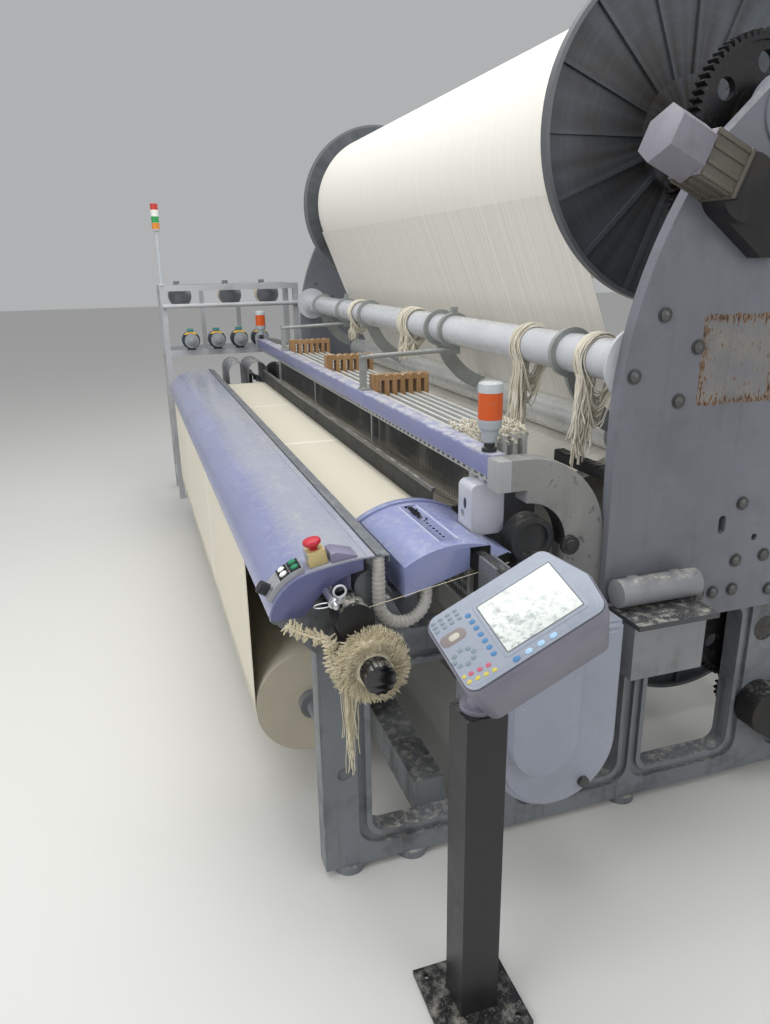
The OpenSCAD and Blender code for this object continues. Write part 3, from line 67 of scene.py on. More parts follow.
# Camera at the near front corner of the loom, above the operator console.
# The picture is 770 by 1024, and the focal length is given in its pixels.
camera_place = Vector((3.365, -1.180, 1.550))
camera_yaw, camera_pitch, camera_roll = (math.radians(a) for a in (18.11, 17.94, 0.92))
focal_pixels, picture_height = 771, 1024
ahead = Vector((-math.cos(camera_yaw) * math.cos(camera_pitch),
                math.sin(camera_yaw) * math.cos(camera_pitch), -math.sin(camera_pitch)))
level_right = ahead.cross(Vector((0, 0, 1))).normalized()
level_down = ahead.cross(level_right)
right = level_right * math.cos(camera_roll) + level_down * math.sin(camera_roll)
down = level_down * math.cos(camera_roll) - level_right * math.sin(camera_roll)
camera = bpy.data.objects.new("camera", bpy.data.cameras.new("camera"))
bpy.context.scene.collection.objects.link(camera)
turn = Matrix((right, -down, -ahead)).transposed().to_4x4()
camera.matrix_world = Matrix.Translation(camera_place) @ turn
camera.data.lens = camera.data.sensor_width * focal_pixels / picture_height
camera.data.clip_start, camera.data.clip_end = 0.05, 100
bpy.context.scene.camera = camera

# Floor, light and backdrop of the studio: pale floor, soft light from above and from the front.
# The lamps give about the light at which a colour renders as it is written.


def linear(code):
    """Six hexadecimal digits of a colour as linear red, green, blue and alpha."""
    parts = [int(code[i:i + 2], 16) / 255 for i in (0, 2, 4)]
    return [p / 12.92 if p <= 0.04045 else ((p + 0.055) / 1.055) ** 2.4 for p in parts] + [1.0]


def blank(name, code, roughness, metallic=0.0):
    """New material and its principled shader with plain values on its own sockets."""
    material = bpy.data.materials.new(name)
    material.use_nodes = True
    shader = material.node_tree.nodes["Principled BSDF"]
    shader.inputs["Base Color"].default_value = linear(code)
    shader.inputs["Roughness"].default_value = roughness
    shader.inputs["Metallic"].default_value = metallic
    return material, shader


floor_half, floor_drop = 30, 0.001
floor_mesh = bmesh.new()
bmesh.ops.create_grid(floor_mesh, x_segments=1, y_segments=1, size=floor_half)
floor_data = bpy.data.meshes.new("floor")
floor_mesh.to_mesh(floor_data)
floor_mesh.free()
floor = bpy.data.objects.new("floor", floor_data)
floor.location.z = -floor_drop
bpy.context.scene.collection.objects.link(floor)
floor_paint = blank("floor_paint", "D9D8D4", 0.7)[0]
floor_data.materials.append(floor_paint)
for name, spot, aim, size, power in (("top", (0.6, -0.6, 4.6), (0, -0.1, 0), 4.5, 165),
                                     ("front", (3.2, -5.0, 3.2), (0.4, 0, 0.8), 3.2, 100),
                                     ("back", (-2.5, 5.0, 3.4), (0, 0, 1.0), 3.2, 84),
                                     ("near", (5.4, 1.2, 2.6), (1.6, 0, 1.0), 2.4, 34)):
    lamp = bpy.data.objects.new(name, bpy.data.lights.new(name, "AREA"))
    lamp.data.size, lamp.data.energy = size, power
    lamp.location = spot
    lamp.rotation_euler = (Vector(aim) - Vector(spot)).to_track_quat("-Z", "Y").to_euler()
    bpy.context.scene.collection.objects.link(lamp)
world = bpy.data.worlds.new("studio")
bpy.context.scene.world = world
world.use_nodes = True
world.node_tree.nodes["Background"].inputs["Color"].default_value = (0.86, 0.88, 0.9, 1)
world.node_tree.nodes["Background"].inputs["Strength"].default_value = 0.5
bpy.context.scene.view_settings.view_transform = "Standard"

# Cast side frames and the box girders between them: grey paint on cast iron.
# They stand on round feet, are grimy with oil and lint, and carry every shaft of the loom.


def darker(code, share):
    """Colour of a code with its light scaled by share."""
    return tuple(share * c for c in linear(code)[:3]) + (1.0,)


def node(material, kind, inputs=None, **settings):
    """Adds a shader node. inputs gives a socket a value or another node's output."""
    made = material.node_tree.nodes.new("ShaderNode" + kind)
    for key, value in settings.items():
        setattr(made, key, value)
    for key, value in (inputs or {}).items():
        if isinstance(value, bpy.types.NodeSocket):
            material.node_tree.links.new(value, made.inputs[key])
        else:
            made.inputs[key].default_value = value
    return made


def place(material, stretch=(1, 1, 1), turned=(0, 0, 0), centre=(0, 0, 0)):
    """Object coordinates seen from centre, turned and then stretched."""
    spot = node(material, "TexCoord").outputs["Object"]
    if turned != (0, 0, 0) or centre != (0, 0, 0):
        spot = node(material, "Mapping", {"Vector": spot, "Location": centre, "Rotation": turned},
                    vector_type="TEXTURE").outputs[0]
    if stretch != (1, 1, 1):
        spot = node(material, "Mapping", {"Vector": spot, "Scale": stretch}).outputs[0]
    return spot


def step(material, value, low, high):
    """Value eased from 0 at low to 1 at high."""
    return node(material, "MapRange", {"Value": value, "From Min": low, "From Max": high}).outputs[0]


def cloud(material, scale, low, high, stretch=(1, 1, 1), detail=6, spot=None):
    """Patches of noise from 0 to 1. scale is in waves per metre."""
    source = spot or place(material, stretch)
    made = node(material, "TexNoise", {"Vector": source, "Scale": scale, "Detail": detail, "Roughness": 0.62})
    return step(material, made.outputs[0], low, high)


def maths(material, way, a, b=0.0):
    """Sum of one kind on two values, each a socket or a number."""
    return node(material, "Math", {0: a, 1: b}, operation=way).outputs[0]


def times(material, a, b):
    return maths(material, "MULTIPLY", a, b)


def plus(material, a, b):
    return maths(material, "ADD", a, b)


def minus(material, a, b):
    return maths(material, "SUBTRACT", a, b)


def axes(material, spot=None):
    """X, Y and Z of a place, or of the shaded point itself."""
    return node(material, "SeparateXYZ", {0: spot or place(material)}).outputs


def facing(material):
    """X, Y and Z of the face's direction."""
    return axes(material, node(material, "NewGeometry").outputs["Normal"])


def mixed(material, factor, a, b, share=None):
    """Colour a where factor is 0 and b, or share of it, where it is 1. A colour is a socket or a code."""
    if share is not None:
        factor = times(material, factor, share)
    ends = [linear(c) if isinstance(c, str) else c for c in (a, b)]
    return node(material, "Mix", {0: factor, 6: ends[0], 7: ends[1]}, data_type="RGBA").outputs[2]


def join(material, shader, colour=None, roughness=None, height=None, depth=0.0, metallic=None):
    """Links what is given to the shader. depth is the bump's height in metres."""
    links = material.node_tree.links
    for key, value in (("Base Color", colour), ("Roughness", roughness), ("Metallic", metallic)):
        if value is not None:
            links.new(value, shader.inputs[key])
    if height is not None:
        bump = node(material, "Bump", {"Height": height, "Distance": depth, "Strength": 1.0})
        links.new(bump.outputs[0], shader.inputs["Normal"])


def settled(material, amount):
    """Lint that lies on faces that look up."""
    up = step(material, facing(material)[2], 0.55, 0.95)
    specks = plus(material, cloud(material, 38, 0.48, 0.72), cloud(material, 260, 0.56, 0.7))
    return times(material, times(material, up, specks), amount)


def painted(name, code, dirt="4A4742", dirty=0.5, rough=0.45, lint=0.35, streaks=0.4, chips=0.3, metallic=0.0,
            bare="5B5650", grain=0.00012, coat=0.0, over=None):
    """Worn coat: uneven tone, grime, runs of dirt, chips down to bare, settled lint and a slight skin."""
    material, shader = blank(name, code, rough, metallic)
    shader.inputs["Coat Weight"].default_value = coat
    shader.inputs["Coat Roughness"].default_value = 0.16
    tone = mixed(material, cloud(material, 2.6, 0.3, 0.72), code, darker(code, 0.78))
    if over:
        tone = over(material, tone)
    grime = cloud(material, 7, 0.5, 0.78, detail=9)
    runs = cloud(material, 1, 0.55, 0.8, stretch=(26, 26, 1.6))
    soil = plus(material, times(material, grime, dirty), times(material, runs, streaks))
    tone = mixed(material, maths(material, "MINIMUM", soil, 0.85), tone, dirt)
    chip = times(material, cloud(material, 55, 0.68, 0.7, detail=4), chips)
    tone = mixed(material, chip, tone, bare)
    dust = settled(material, lint)
    tone = mixed(material, maths(material, "MINIMUM", dust, 0.9), tone, "CFCBBF")
    gloss = plus(material, times(material, plus(material, grime, dust), 0.25), rough)
    skin = minus(material, cloud(material, 420, 0.3, 0.7, detail=2), times(material, chip, 2.0))
    join(material, shader, tone, gloss, skin, grain)
    return material


def dress(material, *names, slot=None):
    """Gives CAD nodes a material in place of their plain one. slot is not used."""
    for name in names:
        slots = frame["nodes"][name].data.materials
        slots.clear()
        slots.append(material)


frame_paint = painted("frame_paint", "7C8085", dirt="2E2C28", dirty=0.8, streaks=0.7, chips=0.5, lint=0.8)
dress(frame_paint, "side_frames", "cross_beams", slot="frame_grey")

# Tall plates that carry the upper beam: thick grey painted plate, bolted to the frames.
# The near one shows the rusty outline and yellowed glue of a plate that was taken off.


def less_than(material, a, b):
    return maths(material, "LESS_THAN", a, b)


def more_than(material, a, b):
    return maths(material, "GREATER_THAN", a, b)


def zone(material, axis, low, high, spot=None):
    """1 where the coordinate along axis lies between low and high, and 0 elsewhere."""
    along = axes(material, spot)[axis]
    return times(material, more_than(material, along, low), less_than(material, along, high))


field_y, field_z, rust_deep = (0.160, 0.395), (1.194, 1.417), 0.030
lo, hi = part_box("beam_plates")


def rust_field(material, tone):
    """Dabs of rust, thick along the outline of the removed plate and thin towards its middle."""
    parts = axes(material)
    sides = [minus(material, *ends) for ends in
             ((parts[1], field_y[0]), (field_y[1], parts[1]), (parts[2], field_z[0]), (field_z[1], parts[2]))]
    across, upright = (maths(material, "MINIMUM", *pair) for pair in (sides[:2], sides[2:]))
    depth = maths(material, "MINIMUM", across, upright)
    ragged = plus(material, depth, times(material, cloud(material, 45, 0.3, 0.7), 0.008))
    face = zone(material, 0, hi.x - 0.012, hi.x + 0.002)
    inside = times(material, face, step(material, ragged, 0.003, 0.006))
    thin = times(material, step(material, depth, 0.010, rust_deep), 0.13)
    dabs = node(material, "TexNoise", {"Vector": place(material, (1, 1.9, 0.8)), "Scale": 75.0, "Detail": 7.0,
                                       "Roughness": 0.68}).outputs[0]
    dabs = minus(material, dabs, thin)
    glue = times(material, inside, cloud(material, 13, 0.3, 0.6, detail=9))
    tone = mixed(material, glue, tone, "918A76", 0.45)
    tone = mixed(material, times(material, step(material, dabs, 0.455, 0.50), inside), tone, "77522E")
    return mixed(material, times(material, step(material, dabs, 0.52, 0.56), inside), tone, "3D281A")


plate_paint = painted("plate_paint", "797B84", dirt="4E4D4A", dirty=0.42, streaks=0.35, chips=0.35, lint=0.4,
                      over=rust_field, rough=0.4)
dress(plate_paint, "beam_plates", slot="plate_grey")

# Bolts of the tall plates: dark dome heads on washers, dulled by handling.
# They are steel and hold the plates to the side frames.


def metal(name, code, rough=0.32, lines=(1, 90, 90), stain="5A564F", dirty=0.35, lint=0.2, metallic=0.85,
          grain=0.00006):
    """Bare or plated metal: fine working lines, dull patches, grime and settled lint."""
    material, shader = blank(name, code, rough, metallic)
    marks = cloud(material, 6, 0.3, 0.7, stretch=lines, detail=3)
    dull = cloud(material, 9, 0.42, 0.75, detail=8)
    tone = mixed(material, marks, code, darker(code, 0.86))
    tone = mixed(material, times(material, dull, dirty), tone, stain)
    dust = maths(material, "MINIMUM", settled(material, lint), 0.9)
    tone = mixed(material, dust, tone, "D2CEC2")
    gloss = plus(material, times(material, dull, 0.3), rough)
    clean = minus(material, metallic, times(material, dust, 0.8))
    join(material, shader, tone, gloss, marks, grain, maths(material, "MAXIMUM", clean, 0.0))
    return material


bolt_metal = metal("bolt_metal", "6A6B6C", rough=0.42, lines=(60, 60, 60), dirty=0.6)
dress(bolt_metal, "plate_bolts", slot="bolt_steel")

# Cross tube between the tall plates: drawn steel tube in pale grey paint, flanged at both ends.
# Clamps on it hold the whip roll's arms and the rods of the combs.
tube_paint = painted("tube_paint", "D0D3D8", dirt="8A8780", dirty=0.3, streaks=0.1, chips=0.2, lint=0.4,
                     rough=0.26, coat=0.5)
dress(tube_paint, "cross_tube", slot="tube_paint")
bracket_metal = metal("bracket_metal", "A6AAA8", rough=0.42, lines=(40, 40, 40), dirty=0.45, lint=0.5,
                      metallic=0.3)
dress(bracket_metal, "tube_brackets", slot="bracket_steel")

# Whip roll, back roll and guide roll: ground and polished steel tubes on journals.
# Warp or cloth runs over them all day and keeps them bright.
roll_metal = metal("roll_metal", "E2E4E3", rough=0.24, lines=(140, 3, 3), dirty=0.08, lint=0.1, metallic=0.4)
dress(roll_metal, "whip_roll", "back_roll", "guide_roll", slot="roll_steel")

# Comb blocks over the heald frames: beech, sawn with one slot for each frame.
# They hang from the rods of the cross tube and keep the frames apart.


def planed(name, code, grain_code, stretch):
    """Planed wood with long fibres, darker pores and soiled hollows."""
    material, shader = blank(name, code, 0.62)
    fibre = cloud(material, 5, 0.3, 0.75, stretch=stretch, detail=8)
    pores = cloud(material, 22, 0.6, 0.75, stretch=stretch, detail=4)
    tone = mixed(material, fibre, code, grain_code)
    tone = mixed(material, pores, tone, "5E452C")
    tone = mixed(material, maths(material, "MINIMUM", settled(material, 0.8), 0.9), tone, "E0D9C8")
    join(material, shader, tone, None, fibre, 0.0003)
    return material


dress(planed("comb_wood", "B08A60", "86643F", (8, 8, 1)), "wooden_combs", slot="comb_wood")

# Hanks of waste yarn knotted round the cross tube: loose turns and hanging ends of cotton.
# They hang there as a store of thread for mending broken warp ends.


def axis_of(name):
    """Point on a node's lengthwise axis, half way across its box."""
    low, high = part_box(name)
    return Vector((0, (low.y + high.y) / 2, (low.z + high.z) / 2))


def piece(name, shape, material, body, crease=35):
    """Turns a bmesh into a shown piece that rides on a body. Edges sharper than crease stay sharp."""
    mesh = bpy.data.meshes.new(name)
    shape.to_mesh(mesh)
    shape.free()
    mesh.materials.append(material)
    mesh.shade_smooth()
    mesh.set_sharp_from_angle(angle=math.radians(crease))
    made = bpy.data.objects.new(name, mesh)
    bpy.context.scene.collection.objects.link(made)
    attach(made, body)
    return made


def strands(lines, radius, sides=2):
    """Mesh of round threads, one along each list of points. sides is the curve's own bevel resolution."""
    curve = bpy.data.curves.new("strands", "CURVE")
    curve.dimensions = "3D"
    curve.bevel_depth, curve.bevel_resolution, curve.use_fill_caps = radius, sides, True
    for line in lines:
        spline = curve.splines.new("POLY")
        spline.points.add(len(line) - 1)
        for point, at in zip(spline.points, line):
            point.co = (*at, 1)
    holder = bpy.data.objects.new("strands", curve)
    bpy.context.scene.collection.objects.link(holder)
    mesh = bpy.data.meshes.new_from_object(holder.evaluated_get(bpy.context.evaluated_depsgraph_get()))
    bpy.data.objects.remove(holder)
    shape = bmesh.new()
    shape.from_mesh(mesh)
    bpy.data.meshes.remove(mesh)
    return shape


def threads(name, lines, radius, material, body):
    """Shown piece of six-sided threads, cheap enough for thousands."""
    return piece(name, strands(lines, radius, 0), material, body, 80)


def yarn(name, code, shade, scale=900):
    """Spun cotton: soft, twisted, a little darker between the fibres."""
    material, shader = blank(name, code, 0.92)
    shader.inputs["Sheen Weight"].default_value = 0.3
    fibre = cloud(material, scale, 0.3, 0.7, detail=3)
    tone = mixed(material, fibre, code, shade)
    tone = mixed(material, cloud(material, 14, 0.45, 0.8), tone, shade)
    join(material, shader, tone, None, fibre, 0.0004)
    return material


tube_mid = axis_of("cross_tube")
tube_r, thread_r = 0.054, 0.0021
hank_yarn = yarn("hank_yarn", "F1EDE1", "D6CDB6")
rng = random.Random(4)
hank_lines = []
for mid, wide, tail, count in ((-0.630, 0.050, 0.10, 16), (0.150, 0.060, 0.12, 20), (0.215, 0.040, 0.10, 14),
                               (1.210, 0.060, 0.27, 26), (1.568, 0.050, 0.26, 24)):
    for k in range(count):
        x, lean = mid + rng.uniform(-wide, wide) / 2, rng.uniform(-0.010, 0.010)
        reach = tube_r + thread_r + rng.uniform(0.001, 0.010)
        hang = rng.uniform(0.25, 1.0) * tail * 0.5
        turn_line = []
        for i in range(29):
            a = math.radians(-90 + 360 * i / 28)
            low = max(0.0, -math.sin(a)) ** 5 * hang
            drawn_in = 1 - 0.3 * low / tail
            turn_line.append((x + lean * math.sin(a * 2), tube_mid.y + reach * math.cos(a) * drawn_in,
                              tube_mid.z + reach * math.sin(a) - low))
        hank_lines.append(turn_line)
    for k in range(count * 3):
        x, y = mid + rng.gauss(0, wide / 6), tube_mid.y - rng.uniform(0.2, 1.0) * tube_r
        spread, length, curl = rng.gauss(0, 0.016), tail * rng.uniform(0.45, 1.0), rng.uniform(0, 6.3)
        end_line = []
        for i in range(10):
            run = i / 9
            sideways = spread * run ** 1.6 + 0.004 * run * math.sin(curl + i) + rng.gauss(0, 0.0012)
            end_line.append((x + sideways, y + 0.004 * run * math.cos(curl + i) - 0.012 * run,
                             tube_mid.z - tube_r * 0.8 - length * i / 9))
        hank_lines.append(end_line)
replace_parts(threads("waste_hanks", hank_lines, thread_r, hank_yarn, "root"), "yarn_hanks")

# Harness beam in front of the heald frames: folded sheet in lavender paint, worn pale along its top.
# A slotted galvanised strip is screwed under its front edge.


def eased(shape, edges, width, segments=2, clamp=False):
    """Rounds edges of a bmesh to width."""
    bmesh.ops.bevel(shape, geom=edges, offset=width, segments=segments, profile=0.5, affect="EDGES",
                    material=-1, clamp_overlap=clamp)


def softened(name, width, material, segments=2, least=28, crease=35):
    """Copy of a CAD node with its sharp edges rounded to width. It stands for the node."""
    source = frame["nodes"][name]
    shape = bmesh.new()
    shape.from_mesh(source.data)
    bmesh.ops.remove_doubles(shape, verts=shape.verts, dist=2e-5)
    bmesh.ops.dissolve_limit(shape, angle_limit=math.radians(1.2), verts=shape.verts, edges=shape.edges)
    sharp = [e for e in shape.edges if len(e.link_faces) == 2 and e.calc_face_angle(0) > math.radians(least)]
    eased(shape, sharp, width, segments, clamp=True)
    made = piece(name + "_shell", shape, material, source["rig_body"], crease)
    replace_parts(made, name)
    return made


lo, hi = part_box("harness_beam")
strip_top = hi.z - 0.0535


def strip_below(material, tone):
    """Galvanised strip below the beam, and a pale worn edge along its top."""
    low = zone(material, 2, lo.z - 0.01, strip_top)
    worn = times(material, zone(material, 2, hi.z - 0.006, hi.z + 0.01), cloud(material, 24, 0.36, 0.62))
    tone = mixed(material, worn, tone, "C9CBD2", 0.75)
    return mixed(material, low, tone, "9FA3A2")


lavender_paint = painted("lavender_paint", "8287B2", dirt="8B8A92", dirty=0.55, streaks=0.3, chips=0.5,
                         bare="B9B8B4", lint=0.9, rough=0.36, over=strip_below, coat=0.15)
softened("harness_beam", 0.0015, lavender_paint)

# Arch covers at the ends of the harness beam: thick grey casting, freckled where paint has gone.
# Below each sits the dark drum of the selvedge gear, and a black hub is fixed through the cover.


def reach_from(material, centre, stretch=(0, 1, 1)):
    """Distance from a centre, by itself from the axis along X that runs through it."""
    spot = place(material, stretch, centre=centre)
    return node(material, "VectorMath", {0: spot}, operation="LENGTH").outputs[1]


lo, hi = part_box("arch_covers")
arch_mid, drum_r = (0, -0.290, 0.870), 0.113
hub_mid, hub_r, hub_stands = (0, -0.166, 0.861), 0.0255, 0.0175
end_from, end_to = -0.40, -0.335


def arch_parts(material, tone):
    """Black for the hub outside the cover's face and for the drum inside its bow."""
    drum = less_than(material, reach_from(material, arch_mid), drum_r)
    hub = less_than(material, reach_from(material, hub_mid), hub_r)
    outside = more_than(material, maths(material, "ABSOLUTE", axes(material)[0]), hi.x - hub_stands)
    dark = maths(material, "MAXIMUM", drum, times(material, hub, outside))
    freckles = cloud(material, 34, 0.6, 0.66, detail=8)
    tone = mixed(material, freckles, tone, "4A4540", 0.75)
    tone = mixed(material, zone(material, 1, end_from, end_to), tone, "A9ACAE", 0.7)
    return mixed(material, dark, tone, "1E2023")


arch_paint = painted("arch_paint", "888886", dirt="57534C", dirty=0.5, streaks=0.3, chips=0.6, lint=0.25,
                     rough=0.55, over=arch_parts)
softened("arch_covers", 0.004, arch_paint, 3)

# Beacons on the harness beam and the lamp tower on the stand: moulded housings with tinted lenses.
# White caps, ribbed lenses and tapered necks on black sockets; the tower has four lenses on a tube.


def turned(profile, along="Z", at=(0, 0, 0), steps=48, ring=False):
    """Body of revolution from points (radius, height) that end on the axis, or that ring closes."""
    shape = bmesh.new()
    points = [shape.verts.new((r, 0, h)) for r, h in profile]
    lines = [shape.edges.new(pair) for pair in zip(points, points[1:] + (points[:1] if ring else []))]
    bmesh.ops.spin(shape, geom=points + lines, cent=(0, 0, 0), axis=(0, 0, 1), angle=2 * math.pi, steps=steps,
                   use_merge=True)
    bmesh.ops.remove_doubles(shape, verts=shape.verts, dist=1e-6)
    bmesh.ops.recalc_face_normals(shape, faces=shape.faces)
    quarter = {"X": Matrix.Rotation(math.pi / 2, 4, "Y"), "Y": Matrix.Rotation(-math.pi / 2, 4, "X"),
               "Z": Matrix.Identity(4)}[along]
    bmesh.ops.transform(shape, matrix=Matrix.Translation(at) @ quarter, verts=shape.verts)
    return shape


def gathered(*shapes):
    """One bmesh that holds all the given ones."""
    whole = bmesh.new()
    for shape in shapes:
        mesh = bpy.data.meshes.new("part")
        shape.to_mesh(mesh)
        shape.free()
        whole.from_mesh(mesh)
        bpy.data.meshes.remove(mesh)
    return whole


beam_top, socket_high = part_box("harness_beam")[1].z, 0.023
lens_low, lens_high = beam_top + 0.082, beam_top + 0.148
tower_foot, tower_top, tower_step = 1.770, 1.922, 0.038
tower_codes = ("D98A30", "2F9B53", "E9E9E4", "C43A34")
beacon_profile = [(0, 0), (0.019, 0), (0.019, 0.010), (0.014, 0.012), (0.014, 0.022), (0.0185, 0.026),
                  (0.020, 0.034), (0.0225, 0.052), (0.0285, 0.060), (0.0305, 0.070), (0.0305, 0.081),
                  (0.0295, 0.082), (0.0295, 0.084)]
beacon_profile += [(0.0306 - 0.0006 * (k % 2), 0.084 + 0.0052 * k) for k in range(13)]
beacon_profile += [(0.0306, 0.148), (0.0306, 0.165), (0.0295, 0.170), (0.024, 0.1725), (0, 0.173)]
lamp_paint, lamp_shader = blank("lamp_shell", "C3C8CB", 0.32)
lens = zone(lamp_paint, 2, lens_low, lens_high)
tone = mixed(lamp_paint, zone(lamp_paint, 2, beam_top - 0.01, beam_top + socket_high), "B7BDC1", "23252A")
tone = mixed(lamp_paint, zone(lamp_paint, 2, beam_top + socket_high, lens_low), tone, "A3A8AD")
tone = mixed(lamp_paint, lens, tone, "CC5418")
for k, code in enumerate(tower_codes):
    low = tower_foot + tower_step * k
    tone = mixed(lamp_paint, zone(lamp_paint, 2, low + 0.001, low + tower_step), tone, code)
tone = mixed(lamp_paint, cloud(lamp_paint, 12, 0.62, 0.8), tone, "8E8A80")
tone = mixed(lamp_paint, maths(lamp_paint, "MINIMUM", settled(lamp_paint, 0.7), 0.9), tone, "D6D1C4")
join(lamp_paint, lamp_shader, tone, None, cloud(lamp_paint, 500, 0.4, 0.6), 0.0001)
beam_y = sum(v.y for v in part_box("harness_beam")) / 2
beacon_xs, tower_at = (-1.676, 1.660), (-2.008, -0.914, 0)
tower_profile = [(0, 1.429), (0.024, 1.429), (0.024, 1.436), (0.0115, 1.440), (0.0115, 1.756), (0.022, 1.762)]
for k in range(4):
    low = tower_foot + tower_step * k
    tower_profile += [(radius, low + rise) for radius, rise in
                      ((0.0236, 0.001), (0.0224, 0.004), (0.0236, 0.014), (0.0228, 0.020), (0.0236, 0.026),
                       (0.0236, 0.037))]
tower_profile += [(0.020, tower_top - 0.001), (0, tower_top)]
beacons = [turned(beacon_profile, at=(x, beam_y, beam_top)) for x in beacon_xs]
lamp_shapes = gathered(*beacons, turned(tower_profile, at=tower_at))
lamps = piece("signal_lamps", lamp_shapes, lamp_paint, "root", 25)
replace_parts(lamps, "signal_lights")

# Front cover over the cloth roll: one long sheet in glossy lavender paint, bent to a tight nose.
# Its flat back is rubbed grey by hands and cloth, and two grooves run along it.
worn_from, worn_to = -0.850, -0.780


def rubbed_back(material, tone):
    """Grey, rubbed and scuffed paint behind the nose."""
    across = axes(material)[1]
    edge = plus(material, across, times(material, cloud(material, 5, 0.2, 0.8, stretch=(0.4, 1, 1)), 0.03))
    back = step(material, edge, worn_from, worn_to)
    rub = times(material, back, cloud(material, 8, 0.2, 0.62, stretch=(0.25, 1, 1), detail=10))
    tone = mixed(material, back, tone, "AEB2BA", 0.35)
    tone = mixed(material, rub, tone, "A4A7AD", 0.85)
    scuff = times(material, back, cloud(material, 30, 0.6, 0.75, stretch=(0.2, 1, 1), detail=8))
    return mixed(material, scuff, tone, "B9BABD", 0.6)


cover_paint = painted("cover_paint", "8389B4", dirt="767992", dirty=0.16, streaks=0.06, chips=0.2,
                      bare="B7B6B0", lint=0.2, rough=0.24, grain=0.00006, over=rubbed_back, coat=0.7)
dress(cover_paint, "front_cover", slot="lavender_paint")

# Crescent end plates of the cover and their brackets: sheet in darker lavender, with a painted highlight on
# its rim.
# A galvanised strip is screwed along the cover's rear edge.


def highlit_rim(material, tone):
    """Painted highlight on the folded rim: paler colour on every face that doesn't face along the loom."""
    normal = facing(material)[0]
    return mixed(material, step(material, maths(material, "ABSOLUTE", normal), 0.9, 0.4), tone, "A9ABB4")


end_paint = painted("end_paint", "61648F", dirt="3C3B52", dirty=0.35, streaks=0.2, chips=0.2, lint=0.2,
                    rough=0.36, coat=0.3, over=highlit_rim)
softened("cover_ends", 0.001, end_paint)
strip_metal = metal("strip_metal", "7E838A", rough=0.4, lines=(4, 60, 60), dirty=0.3, lint=0.25, metallic=0.5)
dress(strip_metal, "rear_strip", slot="galvanised")

# Control strip on the cover's near end: bent steel plate with push buttons, a knob and a stop block.
# The strip is grey with black fields round its button pairs, the stop's block cream and the wedge mauve.
block_y, wedge_y = (-0.842, -0.797), (-0.792, -0.726)
strip_mid = 1.748
nose, strip_r = Vector((0, -0.820, 0.7676)), 0.1393
knob_turn, stop_turn, start_turn = 146, 124, 112
field_half = (0.0275, 0.0125)
strip_paint, strip_shader = blank("strip_paint", "9A9CA0", 0.42)


def strip_field(turn, half_angle, low_x, high_x):
    """1 on the strip's face within an angle round the nose and a stretch of its width."""
    spot = axes(strip_paint, place(strip_paint, centre=tuple(nose)))
    angle = maths(strip_paint, "ARCTAN2", spot[2], spot[1])
    off = maths(strip_paint, "ABSOLUTE", minus(strip_paint, angle, math.radians(turn)))
    near = less_than(strip_paint, off, math.radians(half_angle))
    wide = zone(strip_paint, 0, strip_mid + low_x, strip_mid + high_x)
    ahead_of_block = less_than(strip_paint, spot[1], block_y[0] - nose.y)
    return times(strip_paint, times(strip_paint, near, wide), ahead_of_block)


tone = mixed(strip_paint, zone(strip_paint, 1, *block_y), "9A9CA0", "C5B47C")
tone = mixed(strip_paint, zone(strip_paint, 1, *wedge_y), tone, "85809A")
for turn, half_angle, low_x, high_x, code in ((stop_turn, 5.2, -0.0275, 0.0275, "222327"),
                                              (start_turn, 5.2, -0.0275, 0.0275, "1F2A26"),
                                              (knob_turn - 2, 4.6, 0.0125, 0.0275, "62666C"),
                                              (stop_turn, 4.0, -0.0305, -0.0285, "D4D6D6")):
    tone = mixed(strip_paint, strip_field(turn, half_angle, low_x, high_x), tone, code)
tone = mixed(strip_paint, cloud(strip_paint, 30, 0.45, 0.8, detail=8), tone, "55534E", 0.4)
join(strip_paint, strip_shader, tone, None, cloud(strip_paint, 300, 0.4, 0.6), 0.0001)
softened("control_strip", 0.0012, strip_paint)

# Push buttons, emergency stop and knob: moulded caps that travel or turn.
# Black collars and rims frame them, and a white lens lies beside the stop button.


def on_strip(shape, turn, x=0.0):
    """Seats a shape that was made flat, with +Z up, on the strip at an angle round the cover's nose."""
    a = math.radians(turn)
    spot = Vector((strip_mid + x, nose.y + strip_r * math.cos(a), nose.z + strip_r * math.sin(a)))
    bmesh.ops.transform(shape, matrix=Matrix.Translation(spot) @ Matrix.Rotation(a - math.pi / 2, 4, "X"),
                        verts=shape.verts)
    return shape


def add_box(shape, centre, size):
    """Adds a box to a bmesh."""
    bmesh.ops.create_cube(shape, size=1, matrix=Matrix.Translation(centre) @ Matrix.Diagonal((*size, 1)))


def rim(half_x, half_y, wide, high):
    """Raised rectangular rim round the origin."""
    shape = bmesh.new()
    for x, y, size_x, size_y in ((0, half_y, 2 * half_x + wide, wide), (0, -half_y, 2 * half_x + wide, wide),
                                 (half_x, 0, wide, 2 * half_y), (-half_x, 0, wide, 2 * half_y)):
        add_box(shape, (x, y, (high - 0.001) / 2), (size_x, size_y, high + 0.001))
    return shape


def slab(x, y, half_x, half_y, low, high, corner, chamfer=0.0006, segments=6):
    """Plate with round corners and eased top edges, from height low to high."""
    shape = bmesh.new()
    add_box(shape, (x, y, (low + high) / 2), (2 * half_x, 2 * half_y, high - low))
    eased(shape, [e for e in shape.edges if abs(e.verts[0].co.z - e.verts[1].co.z) > 1e-6], corner, segments)
    eased(shape, [e for e in shape.edges if all(v.co.z > high - 1e-6 for v in e.verts)], chamfer)
    return shape


